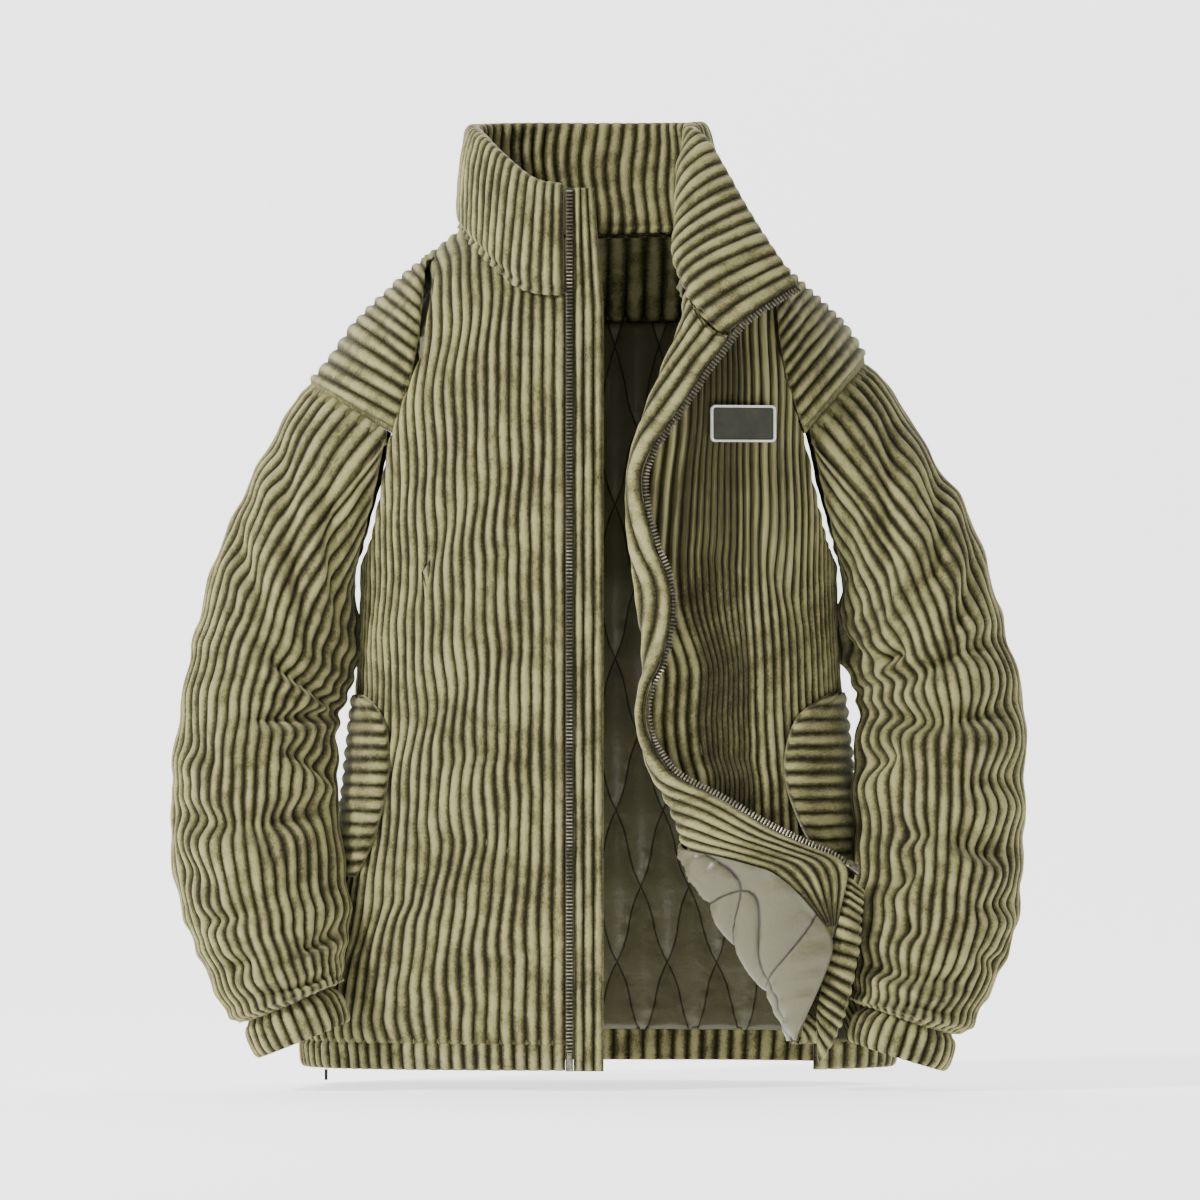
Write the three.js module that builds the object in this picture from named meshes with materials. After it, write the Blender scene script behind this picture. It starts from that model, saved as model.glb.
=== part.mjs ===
import * as THREE from "three";

// Open corduroy jacket, filled out with no wearer. Sizes are in millimetres.
// X runs to the wearer's left, Y to the back and Z up.
// The origin is at the base of the neck, where the shoulders carry the jacket.

// Cloth
const clothThickness = 3;
const waleDepth = 1.4;
const seamGap = 0.3;
const liningFront = clothThickness + seamGap;
const facingThickness = 2.8;
const quiltLow = 3;
const quiltHigh = 9;
const quiltWidth = 82;
const quiltHeight = 130;

// Torso
const hemBottomZ = -684;
const hemSeamZ = -661;
const chestZ = -283;
const ringPower = 2.4;
const ridgePower = 2.2;
const frontRise = 165;
const backRise = 120;
const ridgeStretch = 1.25;
const upperReach = 336;
const topSteps = 1.6;
const rightEdgeX = -27.4;
const placketRightX = -20.6;
const placketLeftX = 4;
const zipChainWidth = 5.4;
const facingWidth = 62;

// Half sizes of the torso's level sections
const torsoSections = table("z halfWidth halfDepth", [
  [-690, 246, 126],
  [-661, 248, 130],
  [-640, 247, 136],
  [-600, 236, 144],
  [-540, 222, 149],
  [-460, 209, 151],
  [-380, 202, 149],
  [-320, 199, 145],
  [-283, 198, 142],
]);

// Height of the shoulder line and of each panel's top edge, by distance from the centre
const shoulderLine = table("x ridge", [
  [0, 18],
  [60, 17],
  [100, 14],
  [113, 11],
  [139, -11],
  [155, -22],
  [180, -45],
  [204, -68],
  [216, -86],
  [233, -109],
  [243, -118],
]);
const frontTop = table("x z", [
  [20, -45],
  [42, -48],
  [57, -43],
  [69, -36],
  [80, -26],
  [92, -15],
  [104, -2],
  [113, 11],
  [139, -11],
  [148, -84],
  [154, -114],
  [164, -145],
  [173, -168],
  [181, -212],
  [190, -248],
  [198, -268],
]);
const backTop = table("x z", [
  [0, 8],
  [60, 9],
  [100, 10.5],
  [113, 11],
  [139, -11],
  [148, -84],
  [154, -114],
  [164, -145],
  [173, -168],
  [181, -212],
  [190, -248],
  [198, -268],
]);

// Soft level puckers of the fronts: height, depth, half height and reach from the zip
const frontPuckers = table("z depth size reach", [
  [-611, 5, 16, 120],
  [-500, 6, 16, 150],
  [-418, 6, 15, 110],
  [-283, 4, 18, 90],
]);

// Left front edge, by the height of its roll. The roll is the visible fold, the end is the
// zip edge, or the hem seam below the turned corner, and lift is the end's stand-off.
const leftEdge = table("rollZ rollX endX endZ lift facing", [
  [-655, 158, 166, -650, 20, 0],
  [-644, 152, 169, -636, 24, 0],
  [-620, 137, 178, -608, 26, 0],
  [-600, 122, 188, -577, 28, 1],
  [-583, 110, 196, -545, 30, 31],
  [-565, 99, 200, -516, 30, facingWidth],
  [-547, 87, 177, -504, 28, facingWidth],
  [-518, 71, 136, -484, 24, facingWidth],
  [-488, 62, 99, -462, 20, facingWidth],
  [-446, 47, 62, -442, 18, facingWidth],
  [-427, 39, 50, -427, 18, facingWidth],
  [-399, 34, 40, -399, 18, facingWidth],
  [-371, 36, 42, -372, 18, facingWidth],
  [-352, 38, 50, -352, 18, facingWidth],
  [-314, 33, 58, -314, 18, facingWidth],
  [-286, 30, 57, -285, 18, facingWidth],
  [-252, 25, 44, -251, 18, facingWidth],
  [-204, 24, 35, -203, 18, facingWidth],
  [-171, 30, 43, -176, 18, facingWidth],
  [-137, 39, 58, -153, 18, facingWidth],
  [-106, 51, 75, -128, 18, facingWidth],
  [-66, 66, 88, -108, 18, facingWidth],
  [-45, 69, 97, -97, 18, facingWidth],
  [-19, 70, 104, -87, 18, facingWidth],
]);
const rollSetback = 16;
const rollPull = 14;
const flapFlatten = 0.15;

// Collar stations along the neck seam: base, middle and top of the middle surface
const collarStations = table("at bx by bz mx my mz tx ty tz", [
  [-290, -27.5, -115, -44.6, -27.5, -120, -2, -27.5, -109, 40],
  [-255, -58, -109.5, -40.4, -56, -112, 3, -52, -100, 46],
  [-220, -81, -92, -22.4, -80, -92, 20, -74, -80, 64],
  [-180, -99.5, -65, -2.6, -99, -60, 40, -92, -48, 82],
  [-140, -110, -14, 12, -108, -12, 51, -101, -6, 92],
  [-100, -103, 27, 12, -102, 30, 53, -97, 35, 96],
  [-55, -61, 53.5, 10.6, -61, 60, 54, -60, 67, 98],
  [0, 0, 62, 9.6, 0, 69, 54, 0, 78, 98],
  [55, 61, 53.5, 10.6, 61, 59, 54, 60, 65, 98],
  [95, 97, 34, 12, 92, 30, 56, 82, 30, 97],
  [125, 110, -4, 12.2, 87, -10, 56, 75, -8, 94],
  [155, 107.5, -38, 7.6, 72, -42, 48, 90, -38, 80],
  [185, 96, -72, -7, 70, -78, 20, 106, -64, 52],
  [215, 82, -97, -19.6, 70, -106, -10, 122, -88, 22],
  [245, 79, -122, -44.6, 86, -128, -34, 140, -108, -8],
  [265, 86, -137.5, -64, 108, -135, -50, 152, -116, -26],
  [285, 106, -143.5, -83, 133, -139, -63, 163, -122, -44],
]);
const collarThickness = 8;
const collarRows = [0, 0.35, 0.7, 1];
const collarWales = 42;

// Sleeve stations: outer and inner edge seen from the front, centre and half size in depth
const sleeveRightStations = table("at outX outZ inX inZ centreY halfDepth", [
  [0, 243, -118, 199, -268, 0, 98],
  [1, 266, -157, 203, -292, -3, 90],
  [2, 285, -193, 206, -318, -8, 84],
  [3, 303, -230, 209, -340, -14, 80],
  [4, 319, -268, 213, -358, -22, 77],
  [5, 332, -313, 217, -372, -30, 74],
  [6, 339, -344, 222, -386, -36, 71],
  [7, 345, -385, 227, -402, -43, 71],
  [8, 350, -430, 229, -428, -52, 70],
  [9, 350, -463, 229, -458, -59, 69],
  [10, 350, -504, 226, -497, -68, 68],
  [11, 344, -545, 220, -535, -80, 66],
  [12, 336, -572, 216, -562, -89, 63],
  [13, 327, -594, 212, -583, -97, 59],
  [14, 314, -622, 209, -600, -106, 53],
  [15, 303, -640, 208, -609, -112, 47],
  [16, 291, -646, 213, -614, -116, 38],
]);
const sleeveLeftStations = table("at outX outZ inX inZ centreY halfDepth", [
  [0, 225, -101, 199, -268, 0, 98],
  [1, 252, -139, 203, -290, -3, 90],
  [2, 277, -184, 206, -312, -8, 84],
  [3, 298, -215, 209, -330, -14, 80],
  [4, 316, -255, 214, -344, -22, 77],
  [5, 328, -300, 220, -358, -30, 74],
  [6, 336, -335, 227, -372, -36, 71],
  [7, 348, -379, 229, -392, -43, 71],
  [8, 351, -426, 224, -424, -52, 70],
  [9, 349, -473, 223, -462, -60, 69],
  [10, 348, -510, 223, -498, -69, 68],
  [11, 346, -544, 220, -532, -80, 66],
  [12, 340, -575, 215, -562, -89, 63],
  [13, 330, -603, 211, -590, -98, 59],
  [14, 318, -628, 207, -611, -106, 53],
  [15, 307, -648, 205, -624, -112, 47],
  [16, 293, -656, 212, -630, -116, 38],
]);

// Sleeve creases: station, direction round the arm, half spread, depth and half length
const sleeveRightCreases = table("at angle spread depth size", [
  [3, 30, 70, 5, 0.6],
  [5.2, -30, 55, 9, 0.7],
  [7, -20, 80, 8, 0.6],
  [9, 10, 90, 8, 0.6],
  [11.3, -20, 70, 7, 0.6],
  [13.2, 30, 60, 6, 0.6],
  [6, 180, 80, 6, 0.7],
  [10, 190, 80, 6, 0.7],
]);
const sleeveLeftCreases = table("at angle spread depth size", [
  [3, 20, 70, 5, 0.6],
  [5.3, -40, 55, 9, 0.7],
  [7, 10, 80, 8, 0.6],
  [9.2, -30, 60, 7, 0.6],
  [11.2, 10, 80, 8, 0.6],
  [13.2, 20, 60, 6, 0.6],
  [6, 180, 80, 6, 0.7],
  [10, 170, 80, 6, 0.7],
]);
const sleeveWales = 30;
const armholeBlend = 3.2;
const capWales = 12;
const capJoinZ = -160;
const cuffWales = 22;
const cuffLength = 31;
const cuffThickness = 3;

// Pocket welts: height and the distance from the centre of the rolled front edge
const pocketRightEdge = table("z x", [
  [-527, 199],
  [-501, 186],
  [-463, 175],
  [-437, 171],
  [-405, 173],
  [-387, 181],
  [-376, 194],
]);
const pocketLeftEdge = table("z x", [
  [-530, 198],
  [-499, 173],
  [-462, 156],
  [-437, 151],
  [-410, 155],
  [-390, 166],
  [-374, 192],
]);
const pocketWales = 14;
const pocketBackTurn = 0.95;
const pocketHeight = 6;
const pocketStandOff = 3;

// Badge
const badgeCentre = { x: 117, z: -155 };
const badgeSize = { width: 58, height: 30 };
const badgeCorner = 4;
const badgeThickness = 1.6;
const badgeRimWidth = 1.6;
const badgeRimHeight = 1;

// Turns rows of numbers into rows with named columns; the first column is the key.
function table(names, rows) {
  const keys = names.split(" ");
  const made = rows.map((row) => Object.fromEntries(keys.map((key, i) => [key, row[i]])));
  made.key = keys[0];
  return made;
}

function clamp(value, low, high) {
  return Math.min(Math.max(value, low), high);
}

function lerp(a, b, t) {
  return a + (b - a) * t;
}

function vec(x, y, z) {
  return new THREE.Vector3(x, y, z);
}

function steps(from, to, count) {
  return Array.from({ length: count + 1 }, (_, i) => lerp(from, to, i / count));
}

// The row that starts the interval holding a key, and the fraction along it.
function find(rows, at) {
  let i = 0;
  while (i < rows.length - 2 && at > rows[i + 1][rows.key]) i++;
  const from = rows[i][rows.key];
  return { i, t: clamp((at - from) / (rows[i + 1][rows.key] - from), 0, 1) };
}

// Straight-line value of a column.
function line(rows, at, column) {
  const { i, t } = find(rows, at);
  return lerp(rows[i][column], rows[i + 1][column], t);
}

// Smooth value of a column through the rows.
function smooth(rows, at, column) {
  const { i, t } = find(rows, at);
  const key = rows.key;
  const a = rows[Math.max(i - 1, 0)];
  const b = rows[i];
  const c = rows[i + 1];
  const d = rows[Math.min(i + 2, rows.length - 1)];
  const span = c[key] - b[key];
  const slopeB = ((c[column] - a[column]) / (c[key] - a[key])) * span;
  const slopeC = ((d[column] - b[column]) / (d[key] - b[key])) * span;
  const t2 = t * t;
  const t3 = t2 * t;
  return (
    (2 * t3 - 3 * t2 + 1) * b[column] +
    (t3 - 2 * t2 + t) * slopeB +
    (3 * t2 - 2 * t3) * c[column] +
    (t3 - t2) * slopeC
  );
}

// A quarter of the torso's level section, from the centre to the side, with its lengths.
const quarters = new Map();
function quarterAt(z) {
  const id = Math.round(z * 100);
  if (quarters.has(id)) return quarters.get(id);
  const halfWidth = smooth(torsoSections, z, "halfWidth");
  const halfDepth = smooth(torsoSections, z, "halfDepth");
  const points = steps(0, Math.PI / 2, 240).map((turn) => [
    halfWidth * Math.sin(turn) ** (2 / ringPower),
    halfDepth * Math.abs(Math.cos(turn)) ** (2 / ringPower),
  ]);
  const lengths = [0];
  for (let i = 1; i < points.length; i++) {
    const [x0, y0] = points[i - 1];
    const [x1, y1] = points[i];
    lengths.push(lengths[i - 1] + Math.hypot(x1 - x0, y1 - y0));
  }
  const quarter = { points, lengths, total: lengths[lengths.length - 1] };
  quarters.set(id, quarter);
  return quarter;
}

// Point of a level section. The turn g is 0 at the front centre, 1 at the right side,
// 2 at the back centre, 3 at the left side and 4 at the front centre again.
function ringPoint(g, z) {
  const { points, lengths, total } = quarterAt(z);
  const turn = ((g % 4) + 4) % 4;
  const quarter = Math.floor(turn);
  const part = quarter % 2 === 0 ? turn - quarter : 1 - (turn - quarter);
  const target = part * total;
  let low = 0;
  let high = lengths.length - 1;
  while (high - low > 1) {
    const middle = (low + high) >> 1;
    if (lengths[middle] <= target) low = middle;
    else high = middle;
  }
  const t = (target - lengths[low]) / (lengths[high] - lengths[low]);
  const x = lerp(points[low][0], points[high][0], t);
  const y = lerp(points[low][1], points[high][1], t);
  const right = quarter < 2;
  const front = quarter === 0 || quarter === 3;
  return vec(right ? -x : x, front ? -y : y, z);
}

// Part of a quarter turn at which the section is a given distance from the centre plane.
function quarterPart(x, z) {
  const { points, lengths, total } = quarterAt(z);
  let i = 0;
  while (i < points.length - 2 && points[i + 1][0] < x) i++;
  const t = (x - points[i][0]) / (points[i + 1][0] - points[i][0]);
  return lerp(lengths[i], lengths[i + 1], t) / total;
}

// Share of the full depth at a distance below the shoulder line.
function depthShare(below, rise) {
  const part = clamp(below / rise, 0, 1);
  return (1 - (1 - part) ** ridgePower) ** (1 / ridgePower);
}

// Height that goes with a level of the torso: 0 is the hem seam and 1 is the chest.
function levelZ(level) {
  return lerp(hemSeamZ, chestZ, Math.min(level, 1));
}

function zLevel(z) {
  return (z - hemSeamZ) / (chestZ - hemSeamZ);
}

function puckerDepth(x, z) {
  return frontPuckers.reduce((sum, pucker) => {
    const up = (z - pucker.z) / pucker.size;
    const along = (Math.abs(x) - 20) / pucker.reach;
    return sum + pucker.depth * Math.exp(-up * up - along * along);
  }, 0);
}

// Distance up a wale at a level: 0 at the chest, and never past the panel's top edge.
function wayUp(g, level) {
  if (level <= 1) return (level - 1) * (chestZ - hemSeamZ);
  const { top, ridge, rise } = waleEnd(g);
  const straight = ridge - rise - chestZ;
  const turned = Math.acos(clamp(1 - (ridge - top) / rise, 0, 1) ** (ridgePower / 2));
  const curved = ridgeStretch * rise * (1 - turned / (Math.PI / 2));
  const reach = top <= ridge - rise ? top - chestZ : straight + curved;
  return Math.min((level - 1) * upperReach, reach - (2 - level) * topSteps);
}

function waleEnd(g) {
  const x = Math.abs(ringPoint(g, chestZ).x);
  const front = isFront(g);
  return {
    top: line(front ? frontTop : backTop, x, "z"),
    ridge: line(shoulderLine, x, "ridge"),
    rise: front ? frontRise : backRise,
  };
}

function isFront(g) {
  const turn = ((g % 4) + 4) % 4;
  return turn < 1 || turn > 3;
}

// Torso surface at a turn and a distance up the wale, which bends back over the shoulder.
function torsoFree(g, way) {
  const p = ringPoint(g, Math.min(chestZ + way, chestZ));
  const front = isFront(g);
  if (way > 0) {
    const { ridge, rise } = waleEnd(g);
    const straight = ridge - rise - chestZ;
    if (way <= straight) {
      p.z = chestZ + way;
    } else {
      const turned = (1 - (way - straight) / (ridgeStretch * rise)) * (Math.PI / 2);
      p.y *= Math.sign(turned) * Math.abs(Math.sin(turned)) ** (2 / ridgePower);
      p.z = ridge - rise * (1 - Math.abs(Math.cos(turned)) ** (2 / ridgePower));
    }
    p.y += ((front ? -seamGap : seamGap) * way) / upperReach;
  }
  const x = Math.abs(p.x);
  if (front) p.y += puckerDepth(x, p.z) * clamp((210 - x) / 60, 0, 1);
  return p;
}

function torsoBase(g, level) {
  return torsoFree(g, wayUp(g, level));
}

// Inward normal of the torso, and a point moved inwards along it by a depth.
function torsoNormal(g, level) {
  const way = wayUp(g, level);
  const around = torsoFree(g + 0.002, way).sub(torsoFree(g - 0.002, way));
  const up = torsoFree(g, way + 0.5).sub(torsoFree(g, way - 0.5));
  return around.cross(up).normalize();
}
function torso(g, level, depth) {
  return torsoBase(g, level).addScaledVector(torsoNormal(g, level), depth);
}

// Front surface of the torso as a depth over a place in the front view.
function frontY(x, z) {
  const halfWidth = smooth(torsoSections, z, "halfWidth");
  const halfDepth = smooth(torsoSections, z, "halfDepth");
  const across = clamp(Math.abs(x) / halfWidth, 0, 0.999);
  const share = depthShare(line(shoulderLine, Math.abs(x), "ridge") - z, frontRise);
  const full = halfDepth * (1 - across ** ringPower) ** (1 / ringPower);
  return -full * share + puckerDepth(x, z) * clamp((210 - Math.abs(x)) / 60, 0, 1);
}

// A closed solid between an outer and an inner grid of points. Grids are lists of rows.
function solidBetween(outer, inner, closed = false) {
  const points = [];
  const faces = [];
  const number = (grid) =>
    grid.map((row) =>
      row.map((point) => {
        points.push(point);
        return points.length - 1;
      }),
    );
  const outerNumbers = number(outer);
  const innerNumbers = number(inner);
  const skin = (grid, flip) => {
    for (let r = 0; r + 1 < grid.length; r++) {
      const count = grid[r].length;
      for (let c = 0; c < (closed ? count : count - 1); c++) {
        const next = (c + 1) % count;
        const pair = [
          [grid[r][c], grid[r][next], grid[r + 1][next]],
          [grid[r][c], grid[r + 1][next], grid[r + 1][c]],
        ];
        faces.push(...(flip ? pair.map((face) => face.reverse()) : pair));
      }
    }
  };
  skin(outerNumbers, false);
  skin(innerNumbers, true);
  const column = (grid, c) => grid.map((row) => row[c]);
  const wrap = (row) => (closed ? [...row, row[0]] : row);
  const lastOuter = outer.length - 1;
  const lastInner = inner.length - 1;
  stitch(points, faces, wrap(innerNumbers[0]), wrap(outerNumbers[0]));
  stitch(points, faces, wrap(outerNumbers[lastOuter]), wrap(innerNumbers[lastInner]));
  if (!closed) {
    const outerEnd = outer[0].length - 1;
    const innerEnd = inner[0].length - 1;
    stitch(points, faces, column(outerNumbers, 0), column(innerNumbers, 0));
    stitch(points, faces, column(innerNumbers, innerEnd), column(outerNumbers, outerEnd));
  }
  return solidFrom(points, faces);
}

// Fills the strip between two edges that start and end together.
function stitch(points, faces, a, b) {
  const along = (edge) => {
    const lengths = [0];
    for (let i = 1; i < edge.length; i++) {
      const step = points[edge[i]].distanceTo(points[edge[i - 1]]);
      lengths.push(lengths[i - 1] + step + 1e-6);
    }
    return lengths.map((length) => length / lengths[lengths.length - 1]);
  };
  const alongA = along(a);
  const alongB = along(b);
  let i = 0;
  let j = 0;
  while (i < a.length - 1 || j < b.length - 1) {
    const stepA = i < a.length - 1 ? alongA[i + 1] : Infinity;
    const stepB = j < b.length - 1 ? alongB[j + 1] : Infinity;
    if (stepA <= stepB) {
      faces.push([a[i], a[i + 1], b[j]]);
      i++;
    } else {
      faces.push([a[i], b[j + 1], b[j]]);
      j++;
    }
  }
}

// Geometry of numbered faces, turned to face outwards.
function solidFrom(points, faces) {
  let volume = 0;
  for (const [a, b, c] of faces) {
    volume += points[a].dot(points[b].clone().cross(points[c]));
  }
  const turned = volume < 0 ? faces.map(([a, b, c]) => [a, c, b]) : faces;
  const geometry = new THREE.BufferGeometry();
  const flat = points.flatMap((p) => [p.x, p.y, p.z]);
  geometry.setAttribute("position", new THREE.Float32BufferAttribute(flat, 3));
  geometry.setIndex(turned.flat());
  return geometry;
}

// Places across a run of wales, from groove to crest to groove.
function waleColumns(wales) {
  return steps(0, 1, wales * 2).map((f, i) => ({ f, depth: i % 2 === 0 ? waleDepth : 0 }));
}

// A wall of ribbed cloth on a surface(f, row, depth), plain on its inner side.
function ribbedWall(surface, rows, wales, innerColumns, thickness = clothThickness) {
  const outer = rows.map((r) => waleColumns(wales).map(({ f, depth }) => surface(f, r, depth)));
  const inner = rows.map((r) => innerColumns.map((f) => surface(f, r, thickness)));
  return solidBetween(outer, inner);
}

const group = new THREE.Group();
const looks = {
  corduroy: [0x7d7c52, 0.95, 0],
  satin: [0x5f5e40, 0.45, 0],
  metal: [0x9a9585, 0.4, 1],
  tape: [0x3e3d28, 0.9, 0],
  rubber: [0x3f4030, 0.6, 0],
  white: [0xe8e8e2, 0.6, 0],
  cord: [0x1c1b16, 0.8, 0],
};

function add(name, geometry, look) {
  const [color, roughness, metalness] = looks[look];
  const material = new THREE.MeshStandardMaterial({ color, roughness, metalness });
  const mesh = new THREE.Mesh(geometry, material);
  mesh.name = name;
  group.add(mesh);
}

// Right front and back
const seamPart = seamGap / 2 / 290;
const frontRows = [-661, -611, -555, -500, -459, -418, -375, -283].map(zLevel);
const upperRows = [1.3, 1.62, 1.85, 2];
const backRows = [-661, -590, -430].map(zLevel);
function rightTurn(f, level) {
  const z = levelZ(level);
  return lerp(quarterPart(-rightEdgeX, z), 1 - seamPart, f);
}
function rightFront(f, level, depth) {
  return torso(rightTurn(f, level), level, depth);
}
function backTurn(f) {
  return lerp(1 + seamPart, 3 - seamPart, f);
}
function backSurface(f, level, depth) {
  return torso(backTurn(f), level, depth);
}
add("front_right", ribbedWall(rightFront, [...frontRows, ...upperRows], 26, steps(0, 1, 12)), "corduroy");
add("back", ribbedWall(backSurface, [...backRows, ...upperRows], 48, steps(0, 1, 24)), "corduroy");

// Left front: rows of points from its end edge, over the roll and round to the side seam.
// Past the join its columns keep to one turn at every level, as the armhole needs.
const joinPart = 0.45;
const joinClear = 0.12;
const joinShare = 0.47;
const leftRowCache = new Map();
function leftRow(level) {
  const id = Math.round(level * 1e5);
  if (leftRowCache.has(id)) return leftRowCache.get(id);
  let z = levelZ(level);
  let startX = 0;
  let part = 0;
  let rollZ = z;
  for (let pass = 0; pass < 6; pass++) {
    startX = smooth(leftEdge, rollZ, "rollX") + rollSetback;
    part = quarterPart(startX, z);
    rollZ = torsoBase(4 - part, level).z;
  }
  const endX = smooth(leftEdge, rollZ, "endX");
  const endZ = rollZ + smooth(leftEdge, rollZ, "endZ") - clamp(rollZ, -655, -19);
  const lift = smooth(leftEdge, rollZ, "lift");
  const points = [];
  for (const t of steps(0, 1, 60)) {
    const s = 1 - t;
    const weights = [s * s * s, 3 * s * s * t, 3 * s * t * t, t * t * t];
    const pulled = startX - rollPull;
    const x = weights[3] * startX + weights[2] * pulled + weights[1] * pulled + weights[0] * endX;
    const height = lift * (weights[1] + weights[0]);
    const turn = 1 - t;
    const atZ = lerp(rollZ, endZ, (turn * turn) * (3 - 2 * turn));
    const flat = 1 - flapFlatten * (height / lift);
    points.push(vec(x, frontY(x * flat, atZ) - height, atZ));
  }
  const lengths = [0];
  for (let i = 1; i < points.length; i++) {
    lengths.push(lengths[i - 1] + points[i].distanceTo(points[i - 1]));
  }
  const sideTurn = 3 + 3 * seamPart;
  const width = (4 - part - sideTurn) * quarterAt(z).total;
  const atRoll = lengths[lengths.length - 1];
  for (const t of steps(0, 1, 120).slice(1)) {
    points.push(torsoBase(lerp(4 - part, sideTurn, t), level));
    lengths.push(atRoll + width * t);
  }
  const facing = clamp(smooth(leftEdge, rollZ, "facing"), 0, facingWidth);
  const turn = (distance) => lerp(4 - part, sideTurn, clamp((distance - atRoll) / width, 0, 1));
  const total = lengths[lengths.length - 1];
  const joined = total - ((1 - Math.max(part + joinClear, joinPart)) / (1 - part)) * (total - atRoll);
  const row = { points, lengths, total, facing, atRoll, turn, joined };
  leftRowCache.set(id, row);
  return row;
}

// Point of the left front at a distance from its end edge.
function leftAt(distance, level) {
  const { points, lengths } = leftRow(level);
  if (distance < 0) {
    const back = points[0].clone().sub(points[2]).normalize();
    return points[0].clone().addScaledVector(back, -distance);
  }
  let i = 0;
  while (i < lengths.length - 2 && lengths[i + 1] < distance) i++;
  const t = (distance - lengths[i]) / (lengths[i + 1] - lengths[i]);
  return points[i].clone().lerp(points[i + 1], t);
}

const facingShare = 0.19;
const facingColumns = 8;
const leftInner = [
  ...steps(0, facingShare, facingColumns),
  ...steps(facingShare, joinShare, 8).slice(1),
  ...steps(joinShare, 1, 10).slice(1),
];
function leftDistance(f, level) {
  const { total, joined } = leftRow(level);
  if (f < facingShare) return (facingWidth * f) / facingShare;
  const past = (f - facingShare) / (joinShare - facingShare);
  if (f < joinShare) return lerp(facingWidth, joined, past);
  return lerp(joined, total, (f - joinShare) / (1 - joinShare));
}

// Inward normal of the rolled edge, over a wide step so that the roll stays even.
function rollNormal(distance, level) {
  const reach = 1.5;
  const climb = 0.012;
  const along = leftAt(distance + reach, level).sub(leftAt(distance - reach, level));
  const up = leftAt(distance, level + climb).sub(leftAt(distance, Math.max(level - climb, 0)));
  return up.cross(along).normalize();
}

// Left front surface, whose normal passes from the roll's to the torso's.
const normalBlend = 30;
function leftInset(distance, level, depth) {
  const row = leftRow(level);
  const share = clamp((distance - row.atRoll) / normalBlend, 0, 1);
  const normal = vec(0, 0, 0);
  if (share < 1) normal.addScaledVector(rollNormal(distance, level), 1 - share);
  if (share > 0) normal.addScaledVector(torsoNormal(row.turn(distance), level), share);
  return leftAt(distance, level).addScaledVector(normal.normalize(), depth);
}
function leftFront(f, level, depth) {
  return leftInset(leftDistance(f, level), level, depth);
}
const leftRows = [-661, -628, -597, -565, -510, -460, -420, -376, -283].map(zLevel);
const leftUpperRows = [1.3, 1.46, 1.62, 1.85, 2];
const leftAllRows = [...leftRows, ...leftUpperRows];
// The wales flatten where the turned corner crowds them.
const leftWales = 32;
const openWale = 8;
function leftRelief(f, level) {
  const half = 0.5 / leftWales;
  const width = leftDistance(Math.min(f + half, 1), level) - leftDistance(Math.max(f - half, 0), level);
  return clamp(width / openWale, 0, 1);
}
function leftRibbed(f, level, depth) {
  return leftFront(f, level, depth < clothThickness ? depth * leftRelief(f, level) : depth);
}
add("front_left", ribbedWall(leftRibbed, leftAllRows, leftWales, leftInner), "corduroy");

// Facing and linings inside the body
const backLiningTop = 1.62;
const edgeEase = 0.8;
function quiltDepth(column, row) {
  return (column + row) % 2 === 0 ? quiltHigh : quiltLow;
}
function lining(surface, quilts, columns, outerRows, innerRows) {
  const top = outerRows[outerRows.length - 1];
  const outer = outerRows.map((r) =>
    columns.map((f) => surface(f, r, liningFront + (r === top ? edgeEase : 0))),
  );
  const lastRow = innerRows.length - 1;
  const inner = innerRows.map((r, row) =>
    quilts.map((f, column) => {
      const edge = row === 0 || row === lastRow || column === 0 || column === quilts.length - 1;
      return surface(f, r, liningFront + (edge ? quiltLow : quiltDepth(column, row)));
    }),
  );
  return solidBetween(outer, inner);
}
const liningBackRows = [...backRows, 1.3, backLiningTop];
const quiltRows = [0, 0.17, 0.34, 0.51, 0.68, 0.85, 1.05, 1.3, backLiningTop];
const backColumns = steps(0, 1, 24);
const backQuilts = backColumns;
add("lining_back", lining(backSurface, backQuilts, backColumns, liningBackRows, quiltRows), "satin");
function neckFacing() {
  const rows = [backLiningTop + 0.0012, 1.85, 2];
  const from = 7 / 24;
  const to = 17 / 24;
  const outer = rows.map((r) =>
    steps(from, to, 10).map((f) => backSurface(f, r, liningFront + edgeEase)),
  );
  const inner = rows.map((r) =>
    waleColumns(15).map(({ f, depth }) =>
      backSurface(lerp(from, to, f), r, liningFront + edgeEase + facingThickness + waleDepth - depth),
    ),
  );
  return solidBetween(outer, inner);
}
add("facing_neck", neckFacing(), "corduroy");

const rightColumns = steps(1 / 12, 1, 11);
const rightAllRows = [...frontRows, ...upperRows];
const rightQuilts = rightColumns.filter((_, i) => i % 2 === 1 || i === 0);
add(
  "lining_right",
  lining(rightFront, rightQuilts, rightColumns, rightAllRows, rightAllRows),
  "satin",
);

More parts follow.
